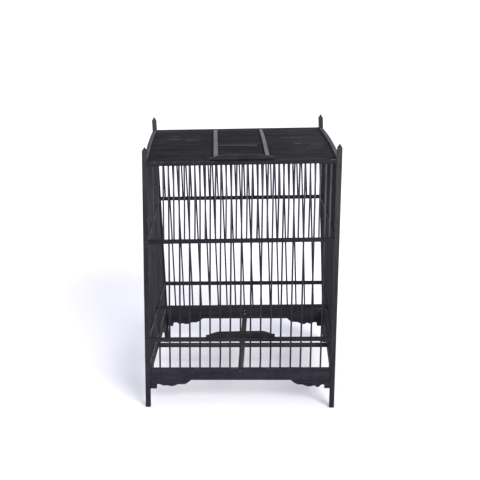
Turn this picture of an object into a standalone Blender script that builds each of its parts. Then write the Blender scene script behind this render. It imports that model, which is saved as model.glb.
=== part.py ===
"""A square bird cage of dark-stained bamboo and wood, with a lifting door in its front wall.

Metres, +Z up, the front faces -Y, and the origin is on the floor below the middle of the cage.
Four posts carry rails and skirt boards; thin round bars stand in the walls and lie in the roof.
The door is seven bars held by two end pieces. It slides up through the two rails above it.
The frame is racked: seen from above, the tops of the posts are turned a little against their feet.
"""

import math
from dataclasses import dataclass

import bmesh
import bpy
from mathutils import Matrix, Vector

# Plan of the cage, over the posts
CAGE_WIDTH = 0.300
CAGE_DEPTH = 0.300
POST_SIDE = 0.0076
# How far the tops of the posts are turned against their feet
FRAME_TURN = math.radians(3.75)

# Heights, stacked from the floor up
FOOT_CLEARANCE = 0.0460
SKIRT_HEIGHT = 0.0200
BASE_OPENING = 0.0450
RAIL_HEIGHT = 0.0057
DOOR_OPENING = 0.1546
TOP_OPENING = 0.1157
POST_RISE = 0.0178
POST_TIP = 0.0052

# Rails, boards and their tenons
RAIL_THICKNESS = 0.0065
ARCH_THICKNESS = 0.0055
SKIRT_THICKNESS = 0.0050
TENON_THICKNESS = 0.0026
TENON_SHOULDER = 0.00125

# Bars of the walls and rods of the roof
BAR_DIAMETER = 0.0028
BAR_SIDES = 6
BAR_COUNT = 17
SOCKET_DEPTH = 0.0030
ROD_DIAMETER = 0.0028
ROD_BURIAL = 0.0006
ROD_SEAT = 0.0001

# Arched roof, its battens and the board that a hook is screwed to
ROOF_RISE = 0.0050
ARCH_STEPS = 14
BATTEN_SPACING = 0.0790
BATTEN_WIDTH = 0.0066
BATTEN_THICKNESS = 0.0020
HANGER_BACK = 0.0181
HANGER_DEPTH = 0.0166
HANGER_SPREAD = 0.0056
HANGER_THICKNESS = 0.0016
HANGER_END_SLANT = 0.0100

# Carved brackets under the ends of the skirt boards
BRACKET_LENGTH = 0.0640
BRACKET_DROP = 0.0144
BRACKET_THICKNESS = 0.0050
CURVE_STEPS = 3
# Along the board from the post, down from the board, and whether the outline is round there
BRACKET_OUTLINE_SHARES = (
    (0.000, 0.00, False),
    (1.000, 0.00, False),
    (0.920, 0.30, True),
    (0.830, 0.48, False),
    (0.690, 0.50, False),
    (0.530, 0.74, True),
    (0.420, 0.60, False),
    (0.320, 0.71, True),
    (0.250, 0.54, True),
    (0.190, 0.50, False),
    (0.150, 0.62, False),
    (0.150, 1.00, False),
    (0.000, 1.00, False),
)

# Floor beams, half lapped where they cross, and the perch
BEAM_WIDTH = 0.0084
BEAM_HEIGHT = 0.0055
PERCH_DIAMETER = 0.0062
PERCH_SIDES = 14
PERCH_END_INSET = 0.0030

# Lifting door
DOOR_BAR_COUNT = 7
DOOR_PIECE_THICKNESS = 0.0054
DOOR_FOOT_HEIGHT = 0.0096
DOOR_FOOT_OVERHANG = 0.0066
DOOR_FOOT_SOCKET_FLOOR = 0.0022
DOOR_HEAD_HEIGHT = 0.0098
DOOR_HEAD_OVERHANG = 0.0028
DOOR_HEAD_SOCKET_DEPTH = 0.0034
# From the middle of the piece outwards as shares of its half length, and up as shares of its height
DOOR_FOOT_OUTLINE_SHARES = (
    (1.00, 0.00),
    (1.00, 0.45),
    (0.90, 0.50),
    (0.87, 0.62),
    (0.69, 0.94),
    (0.62, 1.00),
)
DOOR_HEAD_OUTLINE_SHARES = (
    (1.00, 0.00),
    (1.00, 0.44),
    (0.95, 0.50),
    (0.74, 0.80),
    (0.48, 1.00),
)

# Brads
BRAD_HEAD_DIAMETER = 0.0018
WIDE_HEAD_DIAMETER = 0.0040
BRAD_HEAD_THICKNESS = 0.0004
BRAD_DIAMETER = 0.0009
POST_BRAD_LENGTH = 0.0120
SKIRT_BRAD_LENGTH = 0.0038
BRAD_BELOW_SKIRT_TOP = 0.0047
BRAD_SPACING = 0.0071
BRAD_SIDES = 6

# Clearances: a fit between glued pieces, a running fit for the door, and how far a cutter overruns
FIT = 0.0003
SLIDE_FIT = 0.00035
OVERRUN = 0.0010
WELD_DISTANCE = 0.000001
SMOOTH_ANGLE = math.radians(40)

# Levels worked out from the stack
SKIRT_TOP = FOOT_CLEARANCE + SKIRT_HEIGHT
LOWER_RAIL_BASE = SKIRT_TOP + BASE_OPENING
LOWER_RAIL_TOP = LOWER_RAIL_BASE + RAIL_HEIGHT
UPPER_RAIL_BASE = LOWER_RAIL_TOP + DOOR_OPENING
UPPER_RAIL_TOP = UPPER_RAIL_BASE + RAIL_HEIGHT
TOP_RAIL_BASE = UPPER_RAIL_TOP + TOP_OPENING
TOP_RAIL_TOP = TOP_RAIL_BASE + RAIL_HEIGHT
POST_SHOULDER = TOP_RAIL_TOP + POST_RISE
POST_TOP = POST_SHOULDER + POST_TIP
# The door stands at the mean turn of the two rails that it slides through
SLIDE_LEVEL = (UPPER_RAIL_TOP + TOP_RAIL_TOP - RAIL_HEIGHT) / 2
DOOR_TURN = FRAME_TURN * (SLIDE_LEVEL / POST_TOP - 1 / 2)

TENON_LENGTH = (POST_SIDE - TENON_THICKNESS) / 2 - FIT
ROD_LEVEL = TOP_RAIL_BASE + ROD_DIAMETER / 2 + ROD_SEAT
ROD_TOP = ROD_LEVEL + ROD_DIAMETER / 2
SKIRT_SOCKET_FLOOR = SKIRT_TOP - SOCKET_DEPTH
DOOR_LOW = LOWER_RAIL_TOP + FIT
DOOR_HIGH = TOP_RAIL_TOP + FIT


@dataclass(frozen=True)
class Wall:
    """One side of the cage, drawn as if it faced the front and then turned about Z."""

    name: str
    ends: tuple
    length: float
    plane: float
    angle: float
    rise: float

    @property
    def clear(self):
        return self.length - 2 * POST_SIDE

    def stations(self, count):
        """Where this many bars stand along the wall, evenly between the posts."""
        pitch = self.clear / (count + 1)
        return [(step + 1) * pitch - self.clear / 2 for step in range(count)]

    def long_bars(self):
        return self.stations(BAR_COUNT)

    def short_bars(self):
        """The extra bars above the upper rail, midway between the long ones."""
        return self.stations(2 * BAR_COUNT + 1)[::2]

    def lift(self, x):
        """How far the top rail's arch rises at x along the wall."""
        share = min(1.0, abs(2 * x / self.clear))
        return self.rise * (1 - share * share)

    def at(self, x, z):
        """The world place of a point in this wall's middle plane."""
        return Matrix.Rotation(self.angle, 3, "Z") @ Vector((x, -self.plane, z))


FRONT_PLANE = (CAGE_DEPTH - POST_SIDE) / 2
SIDE_PLANE = (CAGE_WIDTH - POST_SIDE) / 2
FRONT = Wall("front", ("left", "right"), CAGE_WIDTH, FRONT_PLANE, 0, 0)
RIGHT = Wall("right", ("front", "back"), CAGE_DEPTH, SIDE_PLANE, math.radians(90), ROOF_RISE)
BACK = Wall("back", ("right", "left"), CAGE_WIDTH, FRONT_PLANE, math.radians(180), 0)
LEFT = Wall("left", ("back", "front"), CAGE_DEPTH, SIDE_PLANE, math.radians(270), ROOF_RISE)
WALLS = (FRONT, RIGHT, BACK, LEFT)


@dataclass(frozen=True)
class EndPiece:
    """A cloud-shaped piece that holds one end of the door's bars."""

    name: str
    base: float
    height: float
    overhang: float
    outline_shares: tuple
    socket_bottom: float
    socket_top: float


DOOR_FOOT = EndPiece(
    "door_foot",
    DOOR_LOW,
    DOOR_FOOT_HEIGHT,
    DOOR_FOOT_OVERHANG,
    DOOR_FOOT_OUTLINE_SHARES,
    DOOR_LOW + DOOR_FOOT_SOCKET_FLOOR,
    DOOR_LOW + DOOR_FOOT_HEIGHT + OVERRUN,
)
DOOR_HEAD = EndPiece(
    "door_head",
    DOOR_HIGH,
    DOOR_HEAD_HEIGHT,
    DOOR_HEAD_OVERHANG,
    DOOR_HEAD_OUTLINE_SHARES,
    DOOR_HIGH - OVERRUN,
    DOOR_HIGH + DOOR_HEAD_SOCKET_DEPTH,
)


@dataclass(frozen=True)
class Finish:
    """Colour, roughness and metallic value of a piece."""

    colour: tuple
    roughness: float
    metallic: float = 0.0


STAINED_WOOD = Finish((0.037, 0.034, 0.044), 0.45)
STAINED_BAMBOO = Finish((0.030, 0.029, 0.034), 0.50)
PALE_BAMBOO = Finish((0.200, 0.195, 0.200), 0.40)
BRAD_STEEL = Finish((0.300, 0.290, 0.280), 0.40, 1.0)


def clear_scene():
    for obj in list(bpy.data.objects):
        bpy.data.objects.remove(obj, do_unlink=True)


def new_collection(name):
    collection = bpy.data.collections.new(name)
    bpy.context.scene.collection.children.link(collection)
    return collection


clear_scene()
PARTS = new_collection("bird_cage")
CUTTERS = new_collection("cutters_and_guides")


def give_finish(obj, finish):
    """Gives the object a material of its own."""
    material = bpy.data.materials.new(obj.name + "_finish")
    material.use_nodes = True
    shader = material.node_tree.nodes["Principled BSDF"]
    shader.inputs["Base Color"].default_value = (*finish.colour, 1.0)
    shader.inputs["Roughness"].default_value = finish.roughness
    shader.inputs["Metallic"].default_value = finish.metallic
    obj.data.materials.append(material)


def add_piece(name, data, finish, location=(0, 0, 0), angle=0.0):
    obj = bpy.data.objects.new(name, data)
    PARTS.objects.link(obj)
    obj.location = location
    obj.rotation_euler.z = angle
    give_finish(obj, finish)
    return obj


def add_helper(name, data, location=(0, 0, 0), angle=0.0):
    """A cutter, or a shape that another piece is joined with. It is not a piece itself."""
    obj = bpy.data.objects.new(name, data)
    CUTTERS.objects.link(obj)
    obj.location = location
    obj.rotation_euler.z = angle
    obj.hide_render = True
    obj.display_type = "WIRE"
    return obj


def combine(piece, helper, operation):
    modifier = piece.modifiers.new(operation.lower() + "_" + helper.name, "BOOLEAN")
    modifier.operation = operation
    modifier.solver = "EXACT"
    modifier.object = helper


def cut(piece, helper):
    combine(piece, helper, "DIFFERENCE")


def join(piece, helper):
    combine(piece, helper, "UNION")


def add_guide(name, floor_place, top_place):
    """A box round the cage whose floor goes to floor_place and whose top goes to top_place.

    A piece that follows the guide leans and turns with it, and its straight edges stay straight.
    """
    lattice = bpy.data.lattices.new(name)
    lattice.points_u = 2
    lattice.points_v = 2
    lattice.points_w = 2
    lattice.interpolation_type_u = "KEY_LINEAR"
    lattice.interpolation_type_v = "KEY_LINEAR"
    lattice.interpolation_type_w = "KEY_LINEAR"
    guide = add_helper(name, lattice, (0, 0, POST_TOP / 2))
    guide.scale = (CAGE_WIDTH, CAGE_DEPTH, POST_TOP)
    frame = Matrix.Translation(guide.location) @ Matrix.Diagonal((*guide.scale, 1))
    for point in lattice.points:
        place = top_place if point.co.z > 0 else floor_place
        point.co_deform = frame.inverted() @ place @ frame @ point.co
    return guide


def follow(obj, guide):
    modifier = obj.modifiers.new(guide.name, "LATTICE")
    modifier.object = guide


def mesh_from(bm, name, smooth=False):
    mesh = bpy.data.meshes.new(name)
    bm.to_mesh(mesh)
    bm.free()
    if smooth:
        mesh.shade_smooth()
        mesh.set_sharp_from_angle(angle=SMOOTH_ANGLE)
    return mesh


def add_block(bm, size, centre=(0, 0, 0)):
    """A box of this size about the centre."""
    place = Matrix.Translation(centre) @ Matrix.Diagonal((*size, 1))
    return bmesh.ops.create_cube(bm, size=1, matrix=place)["verts"]


def add_upright(bm, x, bottom, top, diameter):
    """A round bar that stands at x from bottom to top."""
    bmesh.ops.create_cone(
        bm,
        cap_ends=True,
        segments=BAR_SIDES,
        radius1=diameter / 2,
        radius2=diameter / 2,
        depth=top - bottom,
        matrix=Matrix.Translation((x, 0, (bottom + top) / 2)),
    )


def add_lying_rod(bm, y, z, length, diameter, sides):
    """A round rod that lies along X, its middle at y and z."""
    bmesh.ops.create_cone(
        bm,
        cap_ends=True,
        segments=sides,
        radius1=diameter / 2,
        radius2=diameter / 2,
        depth=length,
        matrix=Matrix.Translation((0, y, z)) @ Matrix.Rotation(math.radians(90), 4, "Y"),
    )


def hole_diameter(fit):
    """Across the corners of a bar's hole, so that its flats clear the bar's by the fit."""
    return BAR_DIAMETER + 2 * fit / math.cos(math.pi / BAR_SIDES)


def tenoned_bar(clear, thickness, height, tenon_length, tenon_thickness, rise=0.0):
    """A bar along X between two faces that lie clear apart, with a tenon on each end.

    Its middle is at the origin. With a rise it is bent up as an arch between its ends.
    """
    bm = bmesh.new()
    length = clear - 2 * FIT
    tenon_height = height - 2 * TENON_SHOULDER
    add_block(bm, (length, thickness, height))
    if rise:
        along = [edge for edge in bm.edges if abs(edge.verts[0].co.x - edge.verts[1].co.x) > FIT]
        bmesh.ops.subdivide_edges(bm, edges=along, cuts=ARCH_STEPS - 1, use_grid_fill=True)
        for vert in bm.verts:
            share = 2 * vert.co.x / length
            vert.co.z += rise * (1 - share * share)
    for side in (-1, 1):
        bm.normal_update()
        end = [face for face in bm.faces if face.normal.x * side > math.cos(SMOOTH_ANGLE)]
        shoulder = bmesh.ops.extrude_face_region(bm, geom=end)
        bmesh.ops.delete(bm, geom=end, context="FACES")
        face = [item for item in shoulder["geom"] if isinstance(item, bmesh.types.BMFace)][0]
        for vert in face.verts:
            vert.co.y = math.copysign(tenon_thickness / 2, vert.co.y)
            vert.co.z = math.copysign(tenon_height / 2, vert.co.z)
        tip = bmesh.ops.extrude_face_region(bm, geom=[face])
        bmesh.ops.delete(bm, geom=[face], context="FACES")
        tip_verts = [item for item in tip["geom"] if isinstance(item, bmesh.types.BMVert)]
        bmesh.ops.translate(bm, vec=(side * (tenon_length + FIT), 0, 0), verts=tip_verts)
    return bm


def wall_bar(wall, name, base, height, thickness, finish, rise=0.0):
    """A rail or skirt board of a wall, tenoned into the two posts, its underside at base."""
    bm = tenoned_bar(wall.clear, thickness, height, TENON_LENGTH, TENON_THICKNESS, rise)
    mesh = mesh_from(bm, name)
    return add_piece(name, mesh, finish, wall.at(0, base + height / 2), wall.angle)


def wall_helper(wall, name, bm):
    """A helper drawn in the wall's own frame, its heights counted from the floor."""
    return add_helper(name, mesh_from(bm, name), wall.at(0, 0), wall.angle)


def bars_shape(wall, name, spans):
    """Bars as one helper: spans holds (x, bottom, top) for each."""
    bm = bmesh.new()
    for x, bottom, top in spans:
        add_upright(bm, x, bottom, top, BAR_DIAMETER)
    return wall_helper(wall, name, bm)


def holes_shape(wall, name, spans, fit=FIT):
    bm = bmesh.new()
    for x, bottom, top in spans:
        add_upright(bm, x, bottom, top, hole_diameter(fit))
    return wall_helper(wall, name, bm)


def through(base, height):
    return base - OVERRUN, base + height + OVERRUN


def bar_top(wall, x):
    """The upper end of a bar, in its socket in the top rail."""
    return TOP_RAIL_BASE + wall.lift(x) + SOCKET_DEPTH - FIT


def bar_bottom():
    return SKIRT_SOCKET_FLOOR + FIT


def door_stations():
    """The long bars of the front wall that belong to the door."""
    stations = FRONT.long_bars()
    first = (BAR_COUNT - DOOR_BAR_COUNT) // 2
    return stations[first:first + DOOR_BAR_COUNT]


def fixed_stations():
    moving = door_stations()
    return [x for x in FRONT.long_bars() if x not in moving]


def build_post(name, x_side, y_side):
    """A square post with a pointed tip, mortised on its two inner faces."""
    bm = bmesh.new()
    add_block(bm, (POST_SIDE, POST_SIDE, POST_SHOULDER), (0, 0, POST_SHOULDER / 2))
    bm.normal_update()
    top = [face for face in bm.faces if face.normal.z > math.cos(SMOOTH_ANGLE)]
    bmesh.ops.poke(bm, faces=top, offset=POST_TIP, use_relative_offset=False)
    centre = (x_side * SIDE_PLANE, y_side * FRONT_PLANE, 0)
    post = add_piece(name, mesh_from(bm, name), STAINED_WOOD, centre)

    levels = (
        (FOOT_CLEARANCE, SKIRT_HEIGHT),
        (LOWER_RAIL_BASE, RAIL_HEIGHT),
        (UPPER_RAIL_BASE, RAIL_HEIGHT),
        (TOP_RAIL_BASE, RAIL_HEIGHT),
    )
    depth = TENON_LENGTH + FIT + OVERRUN
    middle = POST_SIDE / 2 + OVERRUN - depth / 2
    width = TENON_THICKNESS + 2 * FIT
    for_x = bmesh.new()
    for_y = bmesh.new()
    for base, height in levels:
        tall = height - 2 * TENON_SHOULDER + 2 * FIT
        z = base + height / 2
        add_block(for_x, (depth, width, tall), (-x_side * middle, 0, z))
        add_block(for_y, (width, depth, tall), (0, -y_side * middle, z))
    for direction, mortises in (("x", for_x), ("y", for_y)):
        helper_name = name + "_mortises_" + direction
        cut(post, add_helper(helper_name, mesh_from(mortises, helper_name), centre))
    return post


def build_lower_rails():
    """The lower rails. The front one also holds the short fixed bars below the door."""
    rails = {}
    for wall in WALLS:
        name = "lower_rail_" + wall.name
        rail = wall_bar(wall, name, LOWER_RAIL_BASE, RAIL_HEIGHT, RAIL_THICKNESS, STAINED_WOOD)
        passing = fixed_stations() if wall is FRONT else wall.long_bars()
        spans = [(x, *through(LOWER_RAIL_BASE, RAIL_HEIGHT)) for x in passing]
        cut(rail, holes_shape(wall, name + "_holes", spans))
        if wall is FRONT:
            middle = LOWER_RAIL_BASE + RAIL_HEIGHT / 2
            stubs = [(x, bar_bottom(), middle) for x in door_stations()]
            join(rail, bars_shape(wall, name + "_stubs", stubs))
        rails[wall.name] = rail
    return rails


def build_upper_rails():
    """The upper rails with the bars glued into them.

    At the sides and the back, the rail carries the wall's long bars and the short bars above it.
    At the front, it carries the short bars, and the long bars and the door's bars pass through it.
    """
    rails = {}
    middle = UPPER_RAIL_BASE + RAIL_HEIGHT / 2
    for wall in WALLS:
        name = "upper_rail_front" if wall is FRONT else "grille_" + wall.name
        rail = wall_bar(wall, name, UPPER_RAIL_BASE, RAIL_HEIGHT, RAIL_THICKNESS, STAINED_WOOD)
        spans = [(x, middle, bar_top(wall, x)) for x in wall.short_bars()]
        if wall is not FRONT:
            spans += [(x, bar_bottom(), bar_top(wall, x)) for x in wall.long_bars()]
        join(rail, bars_shape(wall, name + "_bars", spans))
        if wall is FRONT:
            fixed = [(x, *through(UPPER_RAIL_BASE, RAIL_HEIGHT)) for x in fixed_stations()]
            cut(rail, holes_shape(wall, name + "_holes", fixed))
        rails[wall.name] = rail
    return rails


def socket_spans(wall, stations):
    """Blind holes in the underside of a top rail."""
    return [
        (x, TOP_RAIL_BASE + wall.lift(x) - OVERRUN, TOP_RAIL_BASE + wall.lift(x) + SOCKET_DEPTH)
        for x in stations
    ]


def build_top_rails():
    """The straight top rails of the front and the back wall."""
    rails = {}
    for wall in (FRONT, BACK):
        name = "top_rail_" + wall.name
        rail = wall_bar(wall, name, TOP_RAIL_BASE, RAIL_HEIGHT, RAIL_THICKNESS, STAINED_WOOD)
        standing = fixed_stations() if wall is FRONT else wall.long_bars()
        sockets = socket_spans(wall, sorted(standing + wall.short_bars()))
        cut(rail, holes_shape(wall, name + "_sockets", sockets))
        rails[wall.name] = rail
    return rails


def rod_stations():
    """Where the roof's rods lie, front to back."""
    return RIGHT.stations(2 * BAR_COUNT + 1)


def build_roof_grille():
    """The two arched side rails with the roof's rods glued in between them."""
    name = "roof_grille"
    grille = wall_bar(
        LEFT, name, TOP_RAIL_BASE, RAIL_HEIGHT, ARCH_THICKNESS, STAINED_BAMBOO, ROOF_RISE
    )
    rods = bmesh.new()
    inner_face = SIDE_PLANE - ARCH_THICKNESS / 2
    for y in rod_stations():
        length = 2 * (inner_face + ROD_BURIAL)
        add_lying_rod(rods, y, ROD_LEVEL + RIGHT.lift(y), length, ROD_DIAMETER, BAR_SIDES)
    join(grille, add_helper(name + "_rods", mesh_from(rods, name + "_rods")))

    right = tenoned_bar(
        RIGHT.clear, ARCH_THICKNESS, RAIL_HEIGHT, TENON_LENGTH, TENON_THICKNESS, ROOF_RISE
    )
    place = RIGHT.at(0, TOP_RAIL_BASE + RAIL_HEIGHT / 2)
    right_name = name + "_right_rail"
    join(grille, add_helper(right_name, mesh_from(right, right_name), place, RIGHT.angle))
    for wall in (LEFT, RIGHT):
        sockets = socket_spans(wall, sorted(wall.long_bars() + wall.short_bars()))
        cut(grille, holes_shape(wall, name + "_sockets_" + wall.name, sockets))


def build_roof_battens():
    """Two flat strips bent over the rods, from the front rail to the back rail."""
    reach = 2 * (FRONT_PLANE - RAIL_THICKNESS / 2 - FIT)
    for side, x in (("left", -BATTEN_SPACING / 2), ("right", BATTEN_SPACING / 2)):
        name = "roof_batten_" + side
        bm = bmesh.new()
        add_block(bm, (BATTEN_WIDTH, reach, BATTEN_THICKNESS))
        along = [edge for edge in bm.edges if abs(edge.verts[0].co.y - edge.verts[1].co.y) > FIT]
        bmesh.ops.subdivide_edges(bm, edges=along, cuts=ARCH_STEPS - 1, use_grid_fill=True)
        for vert in bm.verts:
            vert.co.z += RIGHT.lift(vert.co.y)
        z = ROD_TOP + FIT + BATTEN_THICKNESS / 2
        add_piece(name, mesh_from(bm, name), PALE_BAMBOO, (x, 0, z))


def build_hanger_board():
    """The board between the battens that a hook is screwed to, flat on the rods.

    It is deeper at the right, where its end is cut at a slant, so its front edge is the shorter one.
    """
    name = "hanger_board"
    bm = bmesh.new()
    length = BATTEN_SPACING - BATTEN_WIDTH - 2 * FIT
    for vert in add_block(bm, (length, HANGER_DEPTH, HANGER_THICKNESS)):
        if vert.co.x > 0 > vert.co.y:
            vert.co.x -= HANGER_END_SLANT
            vert.co.y -= HANGER_SPREAD
    y = -HANGER_BACK - HANGER_DEPTH / 2
    z = ROD_TOP + RIGHT.lift(HANGER_BACK) + FIT + HANGER_THICKNESS / 2
    add_piece(name, mesh_from(bm, name), STAINED_WOOD, (0, y, z))


def build_skirts():
    """The boards round the base, with a socket for the foot of each bar."""
    skirts = {}
    for wall in WALLS:
        name = "skirt_" + wall.name
        skirt = wall_bar(
            wall, name, FOOT_CLEARANCE, SKIRT_HEIGHT, SKIRT_THICKNESS, STAINED_WOOD
        )
        spans = [(x, SKIRT_SOCKET_FLOOR, SKIRT_TOP + OVERRUN) for x in wall.long_bars()]
        cut(skirt, holes_shape(wall, name + "_sockets", spans))
        skirts[wall.name] = skirt
    return skirts


def flat_outline(name, points, thickness):
    """A flat piece from an outline of (x, z, is round), as a curve that stands in the XZ plane."""
    curve = bpy.data.curves.new(name, "CURVE")
    curve.dimensions = "2D"
    curve.fill_mode = "BOTH"
    curve.extrude = thickness / 2
    curve.resolution_u = CURVE_STEPS
    spline = curve.splines.new("BEZIER")
    spline.bezier_points.add(len(points) - 1)
    spline.use_cyclic_u = True
    for point, (x, z, is_round) in zip(spline.bezier_points, points):
        point.co = (x, z, 0)
        kind = "AUTO" if is_round else "VECTOR"
        point.handle_left_type = kind
        point.handle_right_type = kind
    return curve


def build_brackets():
    """A carved bracket in each corner under each skirt board."""
    for wall in WALLS:
        for end, side in zip(wall.ends, (-1, 1)):
            name = "bracket_" + wall.name + "_" + end
            start = wall.clear / 2 - FIT
            points = [
                (side * (start - along * BRACKET_LENGTH), -down * BRACKET_DROP, is_round)
                for along, down, is_round in BRACKET_OUTLINE_SHARES
            ]
            curve = flat_outline(name, points, BRACKET_THICKNESS)
            flat = add_piece(
                name, curve, STAINED_WOOD, wall.at(0, FOOT_CLEARANCE - FIT), wall.angle
            )
            flat.rotation_euler.x = math.radians(90)
            as_mesh(flat)


def build_beams(skirts):
    """Two beams across the open floor, tenoned into the skirts and half lapped in the middle."""
    z = FOOT_CLEARANCE + BEAM_HEIGHT / 2
    notch = BEAM_WIDTH + 2 * FIT
    tenon_height = BEAM_HEIGHT - 2 * TENON_SHOULDER
    tenon_width = BEAM_WIDTH - 2 * TENON_SHOULDER
    tenon_length = SKIRT_THICKNESS / 2 - FIT
    lap = BEAM_HEIGHT / 2 + FIT / 2
    lap_middle = (BEAM_HEIGHT - FIT) / 4 + OVERRUN / 2
    beams = (
        ("floor_beam_cross", LEFT, RIGHT, 0.0, 1),
        ("floor_beam_long", FRONT, BACK, math.radians(90), -1),
    )
    for name, first, second, angle, lap_side in beams:
        clear = 2 * (first.plane - SKIRT_THICKNESS / 2)
        bm = tenoned_bar(clear, BEAM_WIDTH, BEAM_HEIGHT, tenon_length, tenon_width)
        beam = add_piece(name, mesh_from(bm, name), STAINED_WOOD, (0, 0, z), angle)
        slot = bmesh.new()
        add_block(slot, (notch, notch, lap + OVERRUN), (0, 0, lap_side * lap_middle))
        slot_name = name + "_lap"
        cut(beam, add_helper(slot_name, mesh_from(slot, slot_name), (0, 0, z), angle))
        for wall in (first, second):
            mortise = bmesh.new()
            depth = tenon_length + FIT + OVERRUN
            inner = SKIRT_THICKNESS / 2 + OVERRUN
            size = (tenon_width + 2 * FIT, depth, tenon_height + 2 * FIT)
            add_block(mortise, size, (0, inner - depth / 2, z))
            helper = wall_helper(wall, name + "_mortise_" + wall.name, mortise)
            cut(skirts[wall.name], helper)


def build_perch():
    """A round stick that lies across the cage on the lower side rails, just before a bar."""
    name = "perch"
    bm = bmesh.new()
    length = CAGE_WIDTH - 2 * PERCH_END_INSET
    add_lying_rod(bm, 0, 0, length, PERCH_DIAMETER, PERCH_SIDES)
    middle_bar = min(RIGHT.long_bars(), key=abs)
    y = middle_bar - BAR_DIAMETER / 2 - FIT - PERCH_DIAMETER / 2
    z = LOWER_RAIL_TOP + FIT + PERCH_DIAMETER / 2
    add_piece(name, mesh_from(bm, name, smooth=True), STAINED_BAMBOO, (0, y, z))


def build_front_bars():
    """The fixed long bars on both sides of the door."""
    length = bar_top(FRONT, 0) - bar_bottom()
    for number, x in enumerate(fixed_stations(), start=1):
        name = f"front_bar_{number:02d}"
        bm = bmesh.new()
        add_upright(bm, 0, 0, length, BAR_DIAMETER)
        mesh = mesh_from(bm, name, smooth=True)
        add_piece(name, mesh, STAINED_BAMBOO, FRONT.at(x, bar_bottom()))


def as_mesh(curve_object):
    """The curve object made a mesh object of the same name and place, its caps welded on."""
    bpy.context.view_layer.update()
    graph = bpy.context.evaluated_depsgraph_get()
    mesh = bpy.data.meshes.new_from_object(curve_object.evaluated_get(graph))
    bm = bmesh.new()
    bm.from_mesh(mesh)
    bmesh.ops.remove_doubles(bm, verts=bm.verts, dist=WELD_DISTANCE)
    bm.to_mesh(mesh)
    bm.free()
    name = curve_object.name
    matrix = curve_object.matrix_world.copy()
    parent = curve_object.parent
    bpy.data.objects.remove(curve_object, do_unlink=True)
    obj = bpy.data.objects.new(name, mesh)
    PARTS.objects.link(obj)
    obj.parent = parent
    obj.matrix_world = matrix
    return obj


def door_outline(piece, length):
    """A low cloud-shaped outline: upright ends, shoulders that slope up, and a flat top."""
    right = [
        (across * length / 2, up * piece.height, False) for across, up in piece.outline_shares
    ]
    left = [(-x, z, is_round) for x, z, is_round in reversed(right)]
    return right + left


def door_place(frame_angle):
    """Where the door's guide takes a level that the frame turns by frame_angle.

    The middle of the front wall goes along with the frame, and the door keeps its own turn.
    """
    middle = FRONT.at(0, 0)
    moved = Matrix.Rotation(frame_angle, 3, "Z") @ middle
    turn = Matrix.Rotation(DOOR_TURN, 4, "Z")
    return Matrix.Translation(moved) @ turn @ Matrix.Translation(-middle)


def add_slide():
    """An empty at the foot of the door, its Z axis along the slide."""
    slide = bpy.data.objects.new("door_slide", None)
    PARTS.objects.link(slide)
    floor_point = door_place(-FRAME_TURN / 2) @ FRONT.at(0, 0)
    top_point = door_place(FRAME_TURN / 2) @ FRONT.at(0, POST_TOP)
    slide.location = floor_point.lerp(top_point, DOOR_LOW / POST_TOP)
    slide.rotation_euler = (top_point - floor_point).to_track_quat("Z", "Y").to_euler()
    return slide


def build_door():
    """The lifting door: an end piece above and below seven bars, all on one slide."""
    slide = add_slide()
    stations = door_stations()
    span = stations[-1] - stations[0]
    for piece in (DOOR_FOOT, DOOR_HEAD):
        outline = door_outline(piece, span + 2 * piece.overhang)
        curve = flat_outline(piece.name, outline, DOOR_PIECE_THICKNESS)
        flat = add_piece(piece.name, curve, STAINED_WOOD, FRONT.at(0, piece.base))
        flat.rotation_euler.x = math.radians(90)
        obj = as_mesh(flat)
        spans = [(x, piece.socket_bottom, piece.socket_top) for x in stations]
        cut(obj, holes_shape(FRONT, piece.name + "_sockets", spans))
        parent_to(obj, slide)
    bottom = DOOR_FOOT.socket_bottom + FIT
    top = DOOR_HEAD.socket_top - FIT
    for number, x in enumerate(stations, start=1):
        name = f"door_bar_{number}"
        bm = bmesh.new()
        add_upright(bm, 0, 0, top - bottom, BAR_DIAMETER)
        mesh = mesh_from(bm, name, smooth=True)
        bar = add_piece(name, mesh, STAINED_BAMBOO, FRONT.at(x, bottom))
        parent_to(bar, slide)


def parent_to(child, parent):
    """Parents without moving the child."""
    bpy.context.view_layer.update()
    place = child.matrix_world.copy()
    child.parent = parent
    child.matrix_world = place


def brad_part(start, end, diameter):
    bm = bmesh.new()
    bmesh.ops.create_cone(
        bm,
        cap_ends=True,
        segments=BRAD_SIDES,
        radius1=diameter / 2,
        radius2=diameter / 2,
        depth=end - start,
        matrix=Matrix.Translation((0, (start + end) / 2, 0))
        @ Matrix.Rotation(math.radians(90), 4, "X"),
    )
    return bm


def build_brad(name, place, length, holders, head_diameter=BRAD_HEAD_DIAMETER):
    """A brad driven along +Y at place, with its hole in each piece that holds it."""
    overlap = BRAD_HEAD_THICKNESS / 2
    shank = brad_part(BRAD_HEAD_THICKNESS - overlap, length, BRAD_DIAMETER)
    shank_helper = add_helper(name + "_shank", mesh_from(shank, name + "_shank"), place)
    head = brad_part(0.0, BRAD_HEAD_THICKNESS, head_diameter)
    brad = add_piece(name, mesh_from(head, name), BRAD_STEEL, place)
    join(brad, shank_helper)

    slack = 2 * FIT / math.cos(math.pi / BRAD_SIDES)
    head_hole = brad_part(-OVERRUN, BRAD_HEAD_THICKNESS + FIT, head_diameter + slack)
    shank_hole = brad_part(0.0, length + FIT, BRAD_DIAMETER + slack)
    head_cutter = add_helper(name + "_sink", mesh_from(head_hole, name + "_sink"), place)
    shank_cutter = add_helper(name + "_hole", mesh_from(shank_hole, name + "_hole"), place)
    cut(holders[0], head_cutter)
    for holder in holders:
        cut(holder, shank_cutter)


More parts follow.
